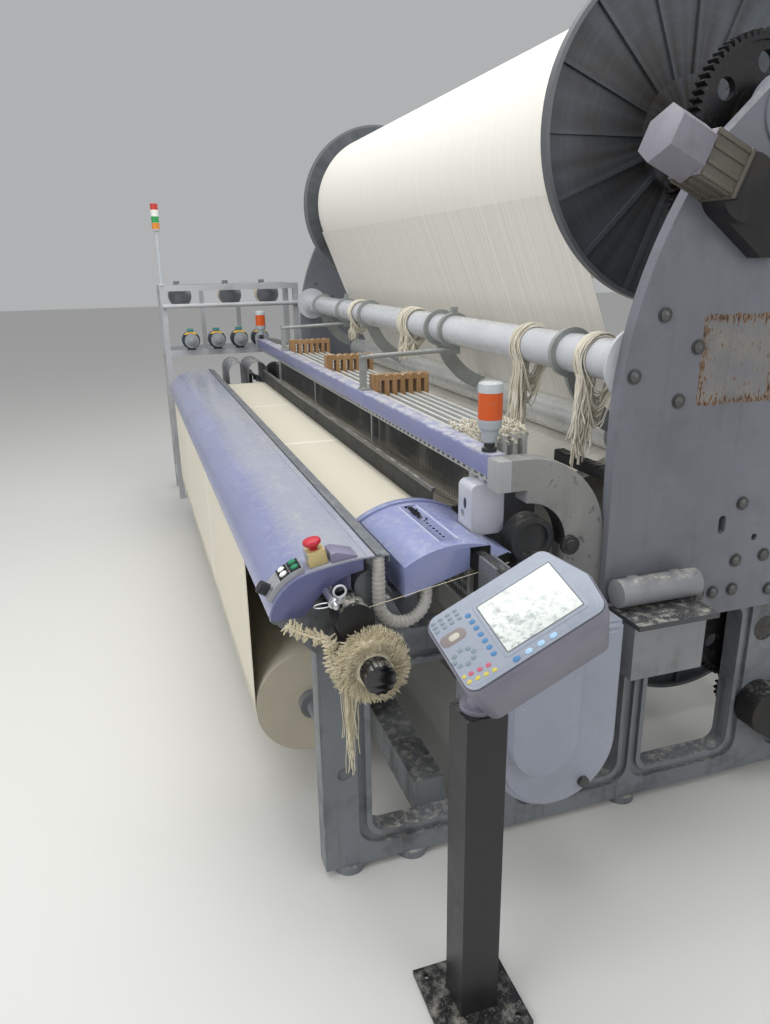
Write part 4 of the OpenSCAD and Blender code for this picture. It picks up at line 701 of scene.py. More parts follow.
def moulded(name, code, rough=0.35, worn="8F8B84", amount=0.3):
    """Moulded plastic with finger marks and a little dirt."""
    material, shader = blank(name, code, rough)
    tone = mixed(material, times(material, cloud(material, 60, 0.5, 0.8, detail=8), amount), code, worn)
    gloss = plus(material, times(material, cloud(material, 35, 0.4, 0.7), 0.2), rough)
    join(material, shader, tone, gloss, cloud(material, 700, 0.4, 0.6), 0.00005)
    return material


red_cap = moulded("red_cap", "C02637", 0.3, "7A2A2E")
green_cap = moulded("green_cap", "168257", 0.3, "2C4A3C")
white_cap = moulded("white_cap", "EDEDE8", 0.32)
black_cap = moulded("black_cap", "1B1C20", 0.4, "55534F")
for name, cap, slot in (("estop_button", red_cap, "red_plastic"),
                        ("start_button", green_cap, "green_plastic"),
                        ("jog_button", green_cap, "green_plastic"),
                        ("stop_button", white_cap, "white_plastic"),
                        ("mode_knob", black_cap, "black_plastic")):
    softened(name, 0.0006, cap)
button_off = 0.015
collar = [(0.0094, -0.001), (0.0122, -0.001), (0.0124, 0.0016), (0.0112, 0.0030), (0.0098, 0.0030),
          (0.0094, 0.0022)]
trims = [on_strip(turned(collar, steps=32, ring=True), turn, x)
         for turn in (stop_turn, start_turn) for x in (-button_off, button_off)]
trims += [on_strip(rim(*field_half, 0.0018, 0.0022), turn) for turn in (stop_turn, start_turn)]
piece("button_trims", gathered(*trims), black_cap, "root")
lens_dome = turned([(0, -0.011), (0.0088, -0.011), (0.0088, 0.0035), (0.0070, 0.0055), (0, 0.0066)], steps=32)
piece("stop_lens", on_strip(lens_dome, stop_turn, -button_off), white_cap, "root")
label = slab(0.020, -0.002, 0.0072, 0.0088, 0.0, 0.0012, 0.0015, 0.0003, 3)
for k in range(5):
    groove = slab(0.020, -0.0085 + 0.0032 * k, 0.0060, 0.0009, 0.0010, 0.0020, 0.0004, 0.0002, 2)
    label = gathered(label, groove)
piece("knob_label", on_strip(label, knob_turn), moulded("label_grey", "7B7F84", 0.4), "root")

# Right end cover over the rapier's path: vacuum-formed lavender plastic, glossy, with a slotted recess.
# Lint has caught in the slots at its far end, and painted highlights run along both edges of the recess.
recess_x, recess_y, slot_y = (1.450, 1.740), (-0.512, -0.462), -0.489


def recess_highlights(material, tone):
    """Painted highlights along both sides of the recess."""
    run = zone(material, 0, recess_x[0] - 0.002, recess_x[1] + 0.002)
    for y in recess_y:
        edge = times(material, run, zone(material, 1, y - 0.0022, y + 0.0022))
        tone = mixed(material, edge, tone, "D9DCF2", 0.75)
    return tone


end_plastic = painted("end_cover_plastic", "8E96C3", dirt="74759A", dirty=0.25, streaks=0.0, chips=0.12,
                      lint=0.3, rough=0.2, coat=0.8, grain=0.00004, over=recess_highlights)
end_cover = softened("right_end_cover", 0.0025, end_plastic, 3)
rng = random.Random(5)
caught = []
for k in range(90):
    x = recess_x[0] + 0.012 + abs(rng.gauss(0, 0.055))
    spot = Vector((x, slot_y + rng.gauss(0, 0.0035), 0.93))
    found, on = end_cover.ray_cast(spot, (0, 0, -1))[:2]
    if not found or x > recess_x[1] - 0.08:
        continue
    first_way = rng.uniform(0, 6.3)
    ways = [first_way + 0.8 * i for i in range(6)]
    caught.append([on + Vector((0.006 * i / 5 * math.cos(way), 0.004 * i / 5 * math.sin(way),
                                0.0012 + 0.0035 * math.sin(math.pi * i / 5))) for i, way in enumerate(ways)])
slot_lint = moulded("slot_lint", "1D1E24", 0.95, "3F3E44", 0.5)
threads("slot_lint", caught, 0.0016, slot_lint, "root")

# Left hood over the other rapier's path: steel sheet folded to twin arches and painted grey.
# It is screwed down beside the far end of the cloth, and lint lies thick on it.
hood_paint = painted("hood_paint", "77787E", dirt="3C3A38", dirty=0.6, streaks=0.4, lint=0.9, rough=0.45)
softened("left_end_cover", 0.0012, hood_paint)

# Cutter box under the harness beam's near end: white moulded housing with a dark sensor hole.
# It stands on a dark foot beside the cloth's edge.
lo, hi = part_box("cutter_box")
foot_high, hole_at, hole_half = 0.0085, (1.641, 0, 0.962), (0.009, 0.015)


def cutter_base(material, tone):
    """Dark foot, and the sensor's oval hole in the face towards the weaver."""
    tone = mixed(material, zone(material, 2, lo.z - 0.01, lo.z + foot_high), tone, "232428")
    oval = less_than(material, reach_from(material, hole_at, (1 / hole_half[0], 0, 1 / hole_half[1])), 1.0)
    front = zone(material, 1, lo.y - 0.01, lo.y + 0.004)
    return mixed(material, times(material, oval, front), tone, "1D1F26")


box_plastic = painted("box_plastic", "C5C7D0", dirt="8C8C92", dirty=0.35, streaks=0.2, chips=0.1, lint=0.3,
                      rough=0.3, coat=0.3, over=cutter_base)
softened("cutter_box", 0.006, box_plastic, 3)

# Breast table under the cloth: planed steel plate on webs, dull and dusty.
# It spans the loom between the side frames, and the cloth slides over it.
table_metal = metal("table_metal", "8E9092", rough=0.42, lines=(3, 50, 50), dirty=0.5, lint=0.8)
dress(table_metal, "breast_table", slot="table_steel")

# Terry cloth: one cotton sheet from the fell over the table, round the take-up and guide rolls,
# and down to the cloth roll. A smooth stripe without loops runs along it between two towels.
cloth_half, cloth_thick, clear = 1.380, 0.0015, 0.00035
stripes = ((0.352, 0.372), (-0.548, -0.532))
lo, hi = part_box("cloth")
bar_at, bar_r, table_front = Vector((-0.690, 0.820)), 0.040, -0.66
take_at, guide_at, roll_at = (axis_of(name).yz for name in ("take_up_roll", "guide_roll", "cloth_roll"))
take_r, guide_r = ((high.z - low.z) / 2 for low, high in (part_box("take_up_roll"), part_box("guide_roll")))


def bend(centre, radius, way_in, way_out, steps=14):
    """Points round a roll. Directions are angles of travel; a negative radius is passed on its other side."""
    turns = (way_in + (way_out - way_in) * i / steps for i in range(steps + 1))
    return [(centre.x + radius * math.sin(t), centre.y - radius * math.cos(t)) for t in turns]


def heading(a, ra, b, rb):
    """Direction of the straight run between two rolls with signed radii."""
    gap = b - a
    return (math.atan2(gap.y, gap.x) + math.asin((ra - rb) / gap.length)) % (2 * math.pi)


near_bar, near_take, near_guide = bar_r + clear, -take_r - clear, guide_r + clear
to_take = heading(bar_at, near_bar, take_at, near_take)
to_guide = heading(take_at, near_take, guide_at, near_guide)
cloth_path = [(hi.y - 0.28 * i / 12, bar_at.y + near_bar) for i in range(12)]
cloth_path += bend(bar_at, near_bar, math.pi, to_take) + bend(take_at, near_take, to_take, to_guide)
cloth_path += bend(guide_at, near_guide, to_guide, 1.5 * math.pi)
drop = cloth_path[-1]
cloth_path += [(drop[0], drop[1] + (roll_at.y - drop[1]) * (i + 1) / 12) for i in range(12)]
runs = [(Vector(a) - Vector(b)).length for a, b in zip(cloth_path, cloth_path[1:])]
web = bmesh.new()
first = [web.verts.new((-cloth_half, *p)) for p in cloth_path]
edges = [web.edges.new(pair) for pair in zip(first, first[1:])]
columns = 140
for i in range(columns):
    made = bmesh.ops.extrude_edge_only(web, edges=edges)["geom"]
    moved = [g for g in made if isinstance(g, bmesh.types.BMVert)]
    bmesh.ops.translate(web, vec=(2 * cloth_half / columns, 0, 0), verts=moved)
    edges = [g for g in made if isinstance(g, bmesh.types.BMEdge) and
             abs(g.verts[0].co.x - g.verts[1].co.x) < 1e-6]
web.verts.ensure_lookup_table()
along = {(round(p[0], 5), round(p[1], 5)): sum(runs[:k]) for k, p in enumerate(cloth_path)}
uv = web.loops.layers.uv.new("cloth")
for face in web.faces:
    for loop in face.loops:
        at = loop.vert.co
        loop[uv].uv = (at.x, along[(round(at.y, 5), round(at.z, 5))])
bmesh.ops.recalc_face_normals(web, faces=web.faces)
on_table = [f for f in web.faces if f.calc_center_median().y > table_front]
if sum(f.normal.z for f in on_table) < 0:
    bmesh.ops.reverse_faces(web, faces=web.faces)
terry, terry_shader = blank("terry_cotton", "E4DCC6", 0.95)
terry_shader.inputs["Sheen Weight"].default_value = 0.4
flat = node(terry, "UVMap", uv_map="cloth").outputs[0]
loops = node(terry, "TexVoronoi", {"Vector": flat, "Scale": 480.0, "Randomness": 0.55}).outputs[0]
fluff = cloud(terry, 90, 0.25, 0.8, spot=flat)
stripe = maths(terry, "MAXIMUM", *(zone(terry, 0, *ends, flat) for ends in stripes))
pile = times(terry, minus(terry, 1.0, loops), minus(terry, 1.0, stripe))
tone = mixed(terry, pile, "CFC6AE", "EBE4D0")
tone = mixed(terry, fluff, tone, "D6CDB5", 0.45)
tone = mixed(terry, cloud(terry, 1.4, 0.45, 0.75, spot=flat), tone, "D9D2BF", 0.35)
tone = mixed(terry, stripe, tone, "F1ECDF")
join(terry, terry_shader, tone, None, plus(terry, pile, times(terry, fluff, 0.6)), 0.0011)
cloth = piece("terry_cloth", web, terry, "root", 60)
thick = cloth.modifiers.new("thickness", "SOLIDIFY")
thick.thickness, thick.offset = cloth_thick, 1.0
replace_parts(cloth, "cloth")

# Take-up roll: steel tube wrapped in grip tape that draws the cloth. Cloth roll: wound terry on a tube.
# Both turn in bearings of the side frames, below the breast table.
grip_tape = metal("grip_tape", "35363A", rough=0.75, lines=(200, 200, 200), dirty=0.3, metallic=0.1, lint=0.6)
dress(grip_tape, "take_up_roll")
core_r = 0.0405
wound, wound_shader = blank("wound_cloth", "E0D8C2", 0.95)
wound_shader.inputs["Sheen Weight"].default_value = 0.3
reach = reach_from(wound, (0, *roll_at))
turns = maths(wound, "FRACT", times(wound, reach, 220.0))
end_face = more_than(wound, maths(wound, "ABSOLUTE", axes(wound)[0]), cloth_half - 0.001)
tone = mixed(wound, times(wound, end_face, turns), "E0D8C2", "A89F8A")
tone = mixed(wound, cloud(wound, 8, 0.4, 0.8), tone, "CBC3AD")
tone = mixed(wound, less_than(wound, reach, core_r), tone, "6F7174")
join(wound, wound_shader, tone, None, cloud(wound, 500, 0.3, 0.7), 0.001)
dress(wound, "cloth_roll", slot="cloth_cream")

# Sley with its race board: aluminium box beam on swords, thick with lint.
# It swings with the reed and beats each weft thread up to the cloth.
sley_metal = metal("sley_metal", "7E7F80", rough=0.48, lines=(3, 50, 50), dirty=0.6, lint=1.0, metallic=0.6)
dress(sley_metal, "sley", slot="sley_alu")

# Reed: two bound rails with hundreds of flat steel dents between them.
# It is clamped on the sley, and the warp passes between its dents.
lo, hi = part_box("reed")
dent_count, dent_size, end_gap, rail_h = 560, (0.0011, 0.006), 0.010, 0.012
reed_shape = bmesh.new()
reed_mid = (lo + hi) / 2
for low in (lo.z, hi.z - rail_h):
    add_box(reed_shape, (reed_mid.x, reed_mid.y, low + rail_h / 2), (hi.x - lo.x, hi.y - lo.y, rail_h))
eased(reed_shape, list(reed_shape.edges), 0.001)
for k in range(dent_count + 1):
    x = lo.x + end_gap + (hi.x - lo.x - 2 * end_gap) * k / dent_count
    add_box(reed_shape, (x, reed_mid.y, reed_mid.z), (*dent_size, hi.z - lo.z - 2 * rail_h + 0.002))
reed_metal = metal("reed_metal", "8C8E8F", rough=0.35, lines=(2, 60, 60), lint=0.9)
reed = piece("reed_dents", reed_shape, reed_metal, "sley")
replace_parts(reed, "reed")

# Heald frames: aluminium rails and stays with rows of flat steel heald wires, one eye for each warp end.
# Lint gathers on the top rails.
heald_metal = metal("heald_metal", "D6D8D5", rough=0.4, lines=(3, 60, 60), dirty=0.2, lint=1.4, metallic=0.2)
wire_metal = metal("wire_metal", "A5A7A8", rough=0.3, lines=(60, 60, 4), dirty=0.2, lint=0.1)
wire_step, wire_size, eye_z, eye_half = 0.0128, (0.0006, 0.0022), 0.868, 0.004
rail, side_stay = 0.080, 0.05
for number in range(1, 7):
    name = "heald_frame_%d" % number
    dress(heald_metal, name, slot="heald_alu")
    lo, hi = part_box(name)
    wires = bmesh.new()
    for k in range(int((hi.x - side_stay) * 2 / wire_step)):
        x = lo.x + side_stay + wire_step * (k + 0.5 * (number % 2))
        for low, high in ((lo.z + rail - 0.002, eye_z - eye_half), (eye_z + eye_half, hi.z - rail + 0.002)):
            add_box(wires, (x, (lo.y + hi.y) / 2, (low + high) / 2), (*wire_size, high - low))
    piece("heald_wires_%d" % number, wires, wire_metal, "heald_%d" % number)

# Waste thread knotted over the near ends of the heald frames: heaps of small cotton loops.
# Each frame carries its own heap, so the heaps rise and fall with the frames.
rng, loops_each = random.Random(7), 80
for number in range(1, 7):
    lo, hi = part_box("heald_frame_%d" % number)
    heap = []
    for k in range(loops_each):
        middle = Vector((hi.x - rng.uniform(-0.002, 0.170), (lo.y + hi.y) / 2 + rng.gauss(0, 0.002),
                         hi.z + rng.uniform(-0.026, 0.020)))
        tilt = Matrix.Rotation(rng.uniform(0, 6.3), 3, "Z") @ Matrix.Rotation(rng.uniform(0.6, 1.57), 3, "X")
        size = Vector((rng.uniform(0.0045, 0.0085), rng.uniform(0.0045, 0.0085)))
        loop = [tilt @ Vector((size.x * math.cos(i * 0.63), size.y * math.sin(i * 0.63), 0.0006 * i))
                for i in range(11)]
        heap.append([middle + Vector((p.x, p.y * 0.9, p.z)) for p in loop])
    threads("waste_loops_%d" % number, heap, 0.0017, hank_yarn, "heald_%d" % number)

# Guides for the ends of the heald frames: dark cast blocks, bolted to the side frames.
# Each of their grooves holds the end of one heald frame.
guide_paint = painted("guide_paint", "4A4B4D", dirt="2A2825", dirty=0.7, lint=0.9, rough=0.6)
dress(guide_paint, "frame_guides", slot="guide_iron")

# Rail behind the heald frames that ends at the near plate: black with grease and matted lint.
# Its row of teeth shows as a ribbed upper edge.
stop_rail, rail_at, rail_size = bmesh.new(), (1.5715, 0.012, 0.996), (0.353, 0.030, 0.030)
tooth_from, tooth_step, tooth_z, tooth_count = 1.401, 0.012, 1.0105, 29
tooth_size = (0.0078, 0.032, 0.009)
add_box(stop_rail, rail_at, rail_size)
for k in range(tooth_count):
    at = (tooth_from + tooth_step * k, rail_at[1] + rng.gauss(0, 0.001), tooth_z + rng.gauss(0, 0.0008))
    add_box(stop_rail, at, tooth_size)
eased(stop_rail, list(stop_rail.edges), 0.0018)
rail_black = painted("rail_black", "1F2124", dirt="3A3B38", dirty=0.6, lint=0.35, rough=0.6)
piece("stop_rail", stop_rail, rail_black, "root")

# Warp ends in front of the heald frames: cotton threads through the healds and the reed to the fell.
# Their two layers part at the fell, which opens the shed for the rapiers.
warp_cotton = yarn("warp_cotton", "E9E3D3", "C9C0AA")
lo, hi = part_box("warp_sheets")
back_y, front_y, fell = lo.y, -0.290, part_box("cloth")[1].y + 0.0005
fell_z = bar_at.y + near_bar + cloth_thick / 2
warp_half, warp_step, warp_count = 1.372, 0.00638, 430
back_zs, front_zs = (0.8545, 0.868), (0.866 - 0.004, 0.866 + 0.004)
warp_lines = [[(-warp_half + warp_step * k, back_y, back_zs[k % 2]),
               (-warp_half + warp_step * k, front_y, front_zs[k % 2]),
               (-warp_half + warp_step * k, fell, fell_z)] for k in range(warp_count)]
threads("warp_ends", warp_lines, 0.0007, warp_cotton, "root")

# Warp beams: barrels with spun and ribbed flanges in dull aluminium, and spur gears black with grease.
# Both beams have the same finish, and their journals are bright where they turn.
gear_x, rim_wide, flange_rim_highlight = (1.632, 1.70), 0.0125, "74767A"


def beam_finish(name, node_name, radius):
    """Radial smears on the flange, a painted highlight along its rim and greasy black beyond the gear's inner
    face.
    """
    axis = tuple(axis_of(node_name))
    material, shader = blank(name, "5C5E60", 0.5, 0.6)
    spot = place(material, (0, 1, 1), centre=axis)
    reach = reach_from(material, axis)
    ray = node(material, "VectorMath", {0: spot}, operation="NORMALIZE").outputs[0]
    smears = node(material, "TexNoise", {"Vector": ray, "Scale": 4.0, "Detail": 5.0}).outputs[0]
    line = node(material, "CombineXYZ", {0: reach}).outputs[0]
    rings = node(material, "TexNoise", {"Vector": line, "Scale": 60.0}).outputs[0]
    tone = mixed(material, step(material, smears, 0.35, 0.68), "666B71", "4C4E51")
    near_hub = step(material, reach, 0.75 * radius, 0.2 * radius)
    near_hub = times(material, near_hub, step(material, smears, 0.4, 0.6))
    tone = mixed(material, near_hub, tone, "453B30", 0.8)
    tone = mixed(material, step(material, rings, 0.45, 0.7), tone, "6E7378", 0.2)
    tone = mixed(material, cloud(material, 6, 0.5, 0.75, detail=9), tone, "4B443C", 0.6)
    # Paler outer band of the flange: a painted highlight where its edge catches the light.
    tone = mixed(material, more_than(material, reach, radius - rim_wide), tone, flange_rim_highlight)
    gear = zone(material, 0, *gear_x)
    tone = mixed(material, gear, tone, "17171A")
    grease = times(material, gear, cloud(material, 60, 0.55, 0.7))
    tone = mixed(material, grease, tone, "3B342C")
    rough = minus(material, 0.52, times(material, gear, 0.2))
    clean = minus(material, 0.75, times(material, gear, 0.55))
    join(material, shader, tone, rough, cloud(material, 220, 0.3, 0.7), 0.0003, clean)
    dress(material, node_name, slot="flange_alu")


beam_finish("pile_beam_finish", "pile_beam", 0.450)
beam_finish("ground_beam_finish", "ground_beam", 0.380)


def wound_threads(name, node_name, banded, gappy):
    """Cotton ends side by side: fine ridges round the beam, drifting bands and dark gaps."""
    material, shader = blank(name, "E9E6DC", 0.9)
    shader.inputs["Sheen Weight"].default_value = 0.25
    slow = place(material, (1, 0.35, 0.35))
    wander = node(material, "TexNoise", {"Vector": slow, "Scale": 3.0, "Detail": 3.0}).outputs[0]
    shifted = plus(material, axes(material)[0], times(material, wander, 0.006))
    ridges = maths(material, "PINGPONG", times(material, shifted, 420.0), 0.5)
    line = node(material, "CombineXYZ", {0: shifted}).outputs[0]
    bands = node(material, "TexNoise", {"Vector": line, "Scale": 36.0, "Detail": 9.0, "Roughness": 0.8})
    gaps = node(material, "TexNoise", {"Vector": line, "Scale": 160.0, "Detail": 2.0})
    tone = mixed(material, step(material, bands.outputs[0], 0.38, 0.66), "EFECE3", "CDC8BB", banded)
    tone = mixed(material, step(material, gaps.outputs[0], 0.66, 0.72), tone, "5F5A4E", gappy)
    tone = mixed(material, ridges, tone, "D9D4C8", 0.4)
    join(material, shader, tone, None, ridges, 0.0006)
    dress(material, node_name, slot="warp_white")


wound_threads("pile_warp_finish", "pile_warp", 0.35, 0.1)
wound_threads("ground_warp_finish", "ground_warp", 0.35, 0.1)
wound_threads("warp_sheet_finish", "warp_sheets", 0.9, 0.85)

# Pinions and geared motors of the let-off: black greasy gearboxes, ribbed motors, pale six-sided caps.
# Each motor is bolted outside the near plate or frame, and its pinion drives the gear of one beam.
gear_iron = metal("gear_iron", "222226", rough=0.34, lines=(60, 60, 60), stain="4A3A28", dirty=0.5)
dress(gear_iron, "pile_pinion", "ground_pinion")
upper_motor, lower_motor = tuple(axis_of("pile_pinion")), tuple(axis_of("ground_pinion"))
fin_low, cap_low, cap_high = 0.052, 0.1625, 0.262
motor_lean = (math.radians(66), math.radians(-90))


def motor_parts(material, tone):
    """Grey fins and pale cap by height along each motor's own axis; the gearbox stays black."""
    upper = zone(material, 2, 1.2, 3.0)
    for here, at, lean in ((upper, upper_motor, motor_lean[0]),
                           (minus(material, 1.0, upper), lower_motor, motor_lean[1])):
        spot = place(material, turned=(lean, 0, 0), centre=at)
        outside = zone(material, 1, -0.070, 0.070, spot)
        for low, high, code in ((fin_low, cap_low, "575249"), (cap_low, cap_high, "7C7983")):
            band = times(material, zone(material, 2, low, high, spot), outside)
            tone = mixed(material, times(material, band, here), tone, code)
    return tone


motor_paint = painted("motor_paint", "151618", dirt="3E362B", dirty=0.55, streaks=0.3, lint=0.5, rough=0.45,
                      over=motor_parts, grain=0.0003)
softened("let_off_drives", 0.002, motor_paint)

# Operator console: two-part moulded housing in mauve grey on a swivel, with a membrane keypad on its face.
# A fixed square tube painted black carries it.
console_at = Vector((2.252, -0.580, 0.949))
console_turn = Matrix.Rotation(math.radians(84.6), 4, "Z") @ Matrix.Rotation(math.radians(-28.6), 4, "Y")
console_turn = Matrix.Translation(console_at) @ console_turn @ Matrix.Rotation(math.radians(26.5), 4, "X")
shell_plastic = painted("shell_plastic", "83818F", dirt="5F5C66", dirty=0.3, streaks=0.1, chips=0.05,
                        lint=0.25, rough=0.42, grain=0.00005)
softened("console_housing", 0.002, shell_plastic)


def on_console(shape):
    """Seats a shape that was made flat, with +Z up, on the console's face."""
    bmesh.ops.transform(shape, matrix=console_turn, verts=shape.verts)
    return shape


console_half, console_r = (0.143, 0.090), 0.026
face_form = ((-1, -1), (1.04, -1), (1.11, -0.2), (0.87, 1), (-1, 1))
face_corners = [Vector([share * (size - console_r) for share, size in zip(form, console_half)])
                for form in face_form]


def face_slab(inset, low, high, chamfer=0.0006):
    """Plate with the outline of the console's face, pulled in by inset, from height low to high."""
    shape = bmesh.new()
    outline = []
    befores, afters = face_corners[-1:] + face_corners[:-1], face_corners[1:] + face_corners[:1]
    for before, here, after in zip(befores, face_corners, afters):
        start, stop = (math.atan2(-(b - a).x, (b - a).y) for a, b in ((before, here), (here, after)))
        stop += 2 * math.pi if stop < start else 0
        for i in range(9):
            a = start + (stop - start) * i / 8
            outline.append(shape.verts.new((here.x + (console_r - inset) * math.cos(a),
                                            here.y + (console_r - inset) * math.sin(a), low)))
    base = shape.faces.new(outline)
    made = bmesh.ops.extrude_face_region(shape, geom=[base])["geom"]
    raised = [g for g in made if isinstance(g, bmesh.types.BMVert)]
    bmesh.ops.translate(shape, vec=(0, 0, high - low), verts=raised)
    bmesh.ops.recalc_face_normals(shape, faces=shape.faces)
    eased(shape, [e for e in shape.edges if all(v.co.z > high - 1e-6 for v in e.verts)], chamfer)
    return shape


screen_x, screen_y, screen_half = 0.033, -0.002, (0.077, 0.054)
face_top = 0.0030
face_plate = face_slab(0.005, 0.0, face_top)
field = face_slab(0.0115, face_top - 0.0005, face_top + 0.0004, 0.0003)
bezel_half = [half + 0.009 for half in screen_half]
bezel = slab(screen_x, screen_y, *bezel_half, face_top, face_top + 0.0012, 0.006)
face_plastic, face_shader = blank("face_plastic", "949BA9", 0.34)
grime = cloud(face_plastic, 40, 0.5, 0.85, detail=9)
tone = mixed(face_plastic, grime, "949BA9", "73767E", 0.35)
tone = mixed(face_plastic, cloud(face_plastic, 900, 0.62, 0.7), tone, "E4E2DC", 0.6)
join(face_plastic, face_shader, tone, None, cloud(face_plastic, 600, 0.4, 0.6), 0.00004)
face_shapes = on_console(gathered(face_plate, field, bezel))
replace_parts(piece("console_face", face_shapes, face_plastic, "console"), "console_panel")
groove = face_slab(0.0035, -0.0004, 0.0009, 0.0003)
piece("face_groove", on_console(groove), moulded("groove_dark", "4C4B54", 0.5), "console")
# Screen: grey lint streaks and specks gather towards the bottom. Towards the top they thin out, which leaves
# it paler as a painted glare.
glass, glass_shader = blank("screen_glass", "C9CFCF", 0.12)
height = axes(glass)[2]
lint_low_glare_high = step(glass, height, console_at.z + 0.045, console_at.z - 0.030)
streaks = cloud(glass, 70, 0.47, 0.66, stretch=(1.0, 0.75, 1.5), detail=10)
lint_thinned_by_glare = times(glass, streaks, plus(glass, times(glass, lint_low_glare_high, 0.8), 0.3))
tone = mixed(glass, lint_thinned_by_glare, "DFE3DF", "8C9694")
specks = times(glass, cloud(glass, 190, 0.55, 0.7, detail=5), lint_low_glare_high)
tone = mixed(glass, specks, tone, "55605D", 0.6)
rough = plus(glass, times(glass, lint_thinned_by_glare, 0.4), 0.1)
join(glass, glass_shader, tone, rough, lint_thinned_by_glare, 0.0002)
screen = slab(screen_x, screen_y, *screen_half, face_top + 0.0008, face_top + 0.0015, 0.002, 0.0002)
piece("console_screen", on_console(screen), glass, "console")
edge_ring = slab(screen_x, screen_y, screen_half[0] + 0.0022, screen_half[1] + 0.0022, face_top + 0.0006,
                 face_top + 0.00135, 0.003, 0.0003)
piece("screen_edge", on_console(edge_ring), moulded("edge_grey", "5B5F63"), "console")
blue, red, yellow, key_grey, pale_blue = "3F79A8", "B5526A", "C2B34E", "74858B", "9FC3DE"
keys = [(-0.066, 0.048 - 0.0153 * k, 0.0056, 0.0044, blue) for k in range(7)]
keys += [(-0.1285 + 0.0156 * i, 0.072 - 0.0095 * j, 0.0046, 0.0028, key_grey)
         for i in range(4) for j in range(3)]
keys += [(-0.118 + 0.0165 * k, -0.0530 - 0.002 * k, 0.0050, 0.0038, red) for k in range(3)]
keys += [(-0.128 + 0.0158 * k, -0.0650 - 0.002 * k, 0.0050, 0.0036, yellow) for k in range(4)]
keys += [(-0.131, -0.0515, 0.0040, 0.0034, yellow), (-0.039, -0.0755, 0.0070, 0.0048, blue)]
keys += [(-0.014 + 0.025 * k, -0.0755, 0.0070, 0.0048, pale_blue) for k in range(3)]
keys += [(-0.113 + 0.020 * math.cos(math.radians(turn)), -0.019 + 0.015 * math.sin(math.radians(turn)),
          0.0050, 0.0038, key_grey) for turn in range(0, 360, 45)]
by_code = {}
for x, y, half_x, half_y, code in keys:
    button = slab(x, y, half_x, half_y, face_top, face_top + 0.0012, min(half_x, half_y) * 0.9, 0.0004, 4)
    by_code.setdefault(code, []).append(button)
for name, code in (("blue", blue), ("red", red), ("yellow", yellow), ("grey", key_grey), ("pale", pale_blue)):
    key_plastic = moulded("key_" + name, code, 0.4)
    piece("keys_" + name, on_console(gathered(*by_code[code])), key_plastic, "console")
badge = slab(-0.110, 0.026, 0.0260, 0.0125, face_top, face_top + 0.0008, 0.0123, 0.0004, 8)
piece("console_oval", on_console(badge), moulded("oval_brown", "7F7674"), "console")
pip = slab(-0.108, 0.0255, 0.0105, 0.0062, face_top + 0.0006, face_top + 0.0014, 0.0060, 0.0003, 8)
piece("oval_pip", on_console(pip), moulded("pip_cream", "BDB8AC"), "console")

post_paint = painted("post_paint", "1C1D20", dirt="4A4742", dirty=0.35, streaks=0.3, lint=0.4, rough=0.35)
dress(post_paint, "console_post", slot="post_black")

# Housings of the rapier drives: moulded covers in pale lavender grey, stepped and glossy.
# They are screwed to the outside of the side frames, with a black plug in the face.
plug_at, plug_r, plug_from = (0, -0.232, 0.330), 0.0145, 1.9925
guide_z = (0.7405, 1.0)


def drive_parts(material, tone):
    """Black plug in the outer face, and the dark rapier guide on top."""
    plug = less_than(material, reach_from(material, plug_at), plug_r)
    outside = more_than(material, maths(material, "ABSOLUTE", axes(material)[0]), plug_from)
    tone = mixed(material, times(material, plug, outside), tone, "1C1D20")
    return mixed(material, zone(material, 2, *guide_z), tone, "5F6266")


drive_plastic = painted("drive_plastic", "979CAB", dirt="7E7F84", dirty=0.25, streaks=0.15, chips=0.08,
                        lint=0.25, rough=0.24, coat=0.5, grain=0.00005, over=drive_parts)
softened("drive_covers", 0.006, drive_plastic, 4)

# Rapiers: dark composite tapes with steel gripper heads.
# They slide through the open shed and pass the weft over at the middle of the loom.
rapier_carbon = metal("rapier_carbon", "3A3C40", rough=0.4, lines=(5, 200, 200), dirty=0.3, metallic=0.3)
dress(rapier_carbon, "right_rapier", "left_rapier", slot="rapier_dark")

# Waste take-off: black bracket and drum on the near plate, and the roller that winds the cut fringe.
# Waste ends stand out from the roller as a ruff, and a fluted knob turns it by hand.
ring_z = (0.8345, 1.0)


def ring_bright(material, tone):
    """Bright thread ring above the black bracket."""
    return mixed(material, zone(material, 2, *ring_z), tone, "C9CCD0")


waste_black = painted("waste_black", "1B1C1F", dirt="3E3B36", dirty=0.4, streaks=0.1, lint=0.8, rough=0.3,
                      over=ring_bright)
dress(waste_black, "waste_bracket", slot="waste_black")
roller_mid = Vector((0, -0.735, 0.690))
wad_from, wad_to = 1.844, 1.916


def wad_colour(material, tone):
    """Cotton colour where the waste is wound on."""
    return mixed(material, zone(material, 0, wad_from, wad_to), tone, "E2D8BC")


knob_black = painted("knob_black", "17181B", dirt="4A463F", dirty=0.2, streaks=0.0, lint=0.3, rough=0.16,
                     over=wad_colour, coat=0.6, grain=0.00004)
softened("waste_roller", 0.0012, knob_black)
rng = random.Random(11)
wad_profile = ((0.0, 0.034), (0.010, 0.052), (0.024, 0.057), (0.032, 0.070), (0.044, 0.074), (0.058, 0.066),
               (0.070, 0.040))


def wad_reach(run):
    """Radius of the wound waste at a distance from its inner end."""
    for (x0, r0), (x1, r1) in zip(wad_profile, wad_profile[1:]):
        if run <= x1:
            return r0 + (r1 - r0) * (run - x0) / (x1 - x0)
    return wad_profile[-1][1]


def scatter(*sizes):
    """Random step whose usual lengths along the axes are sizes."""
    return Vector([rng.gauss(0, size) for size in sizes])


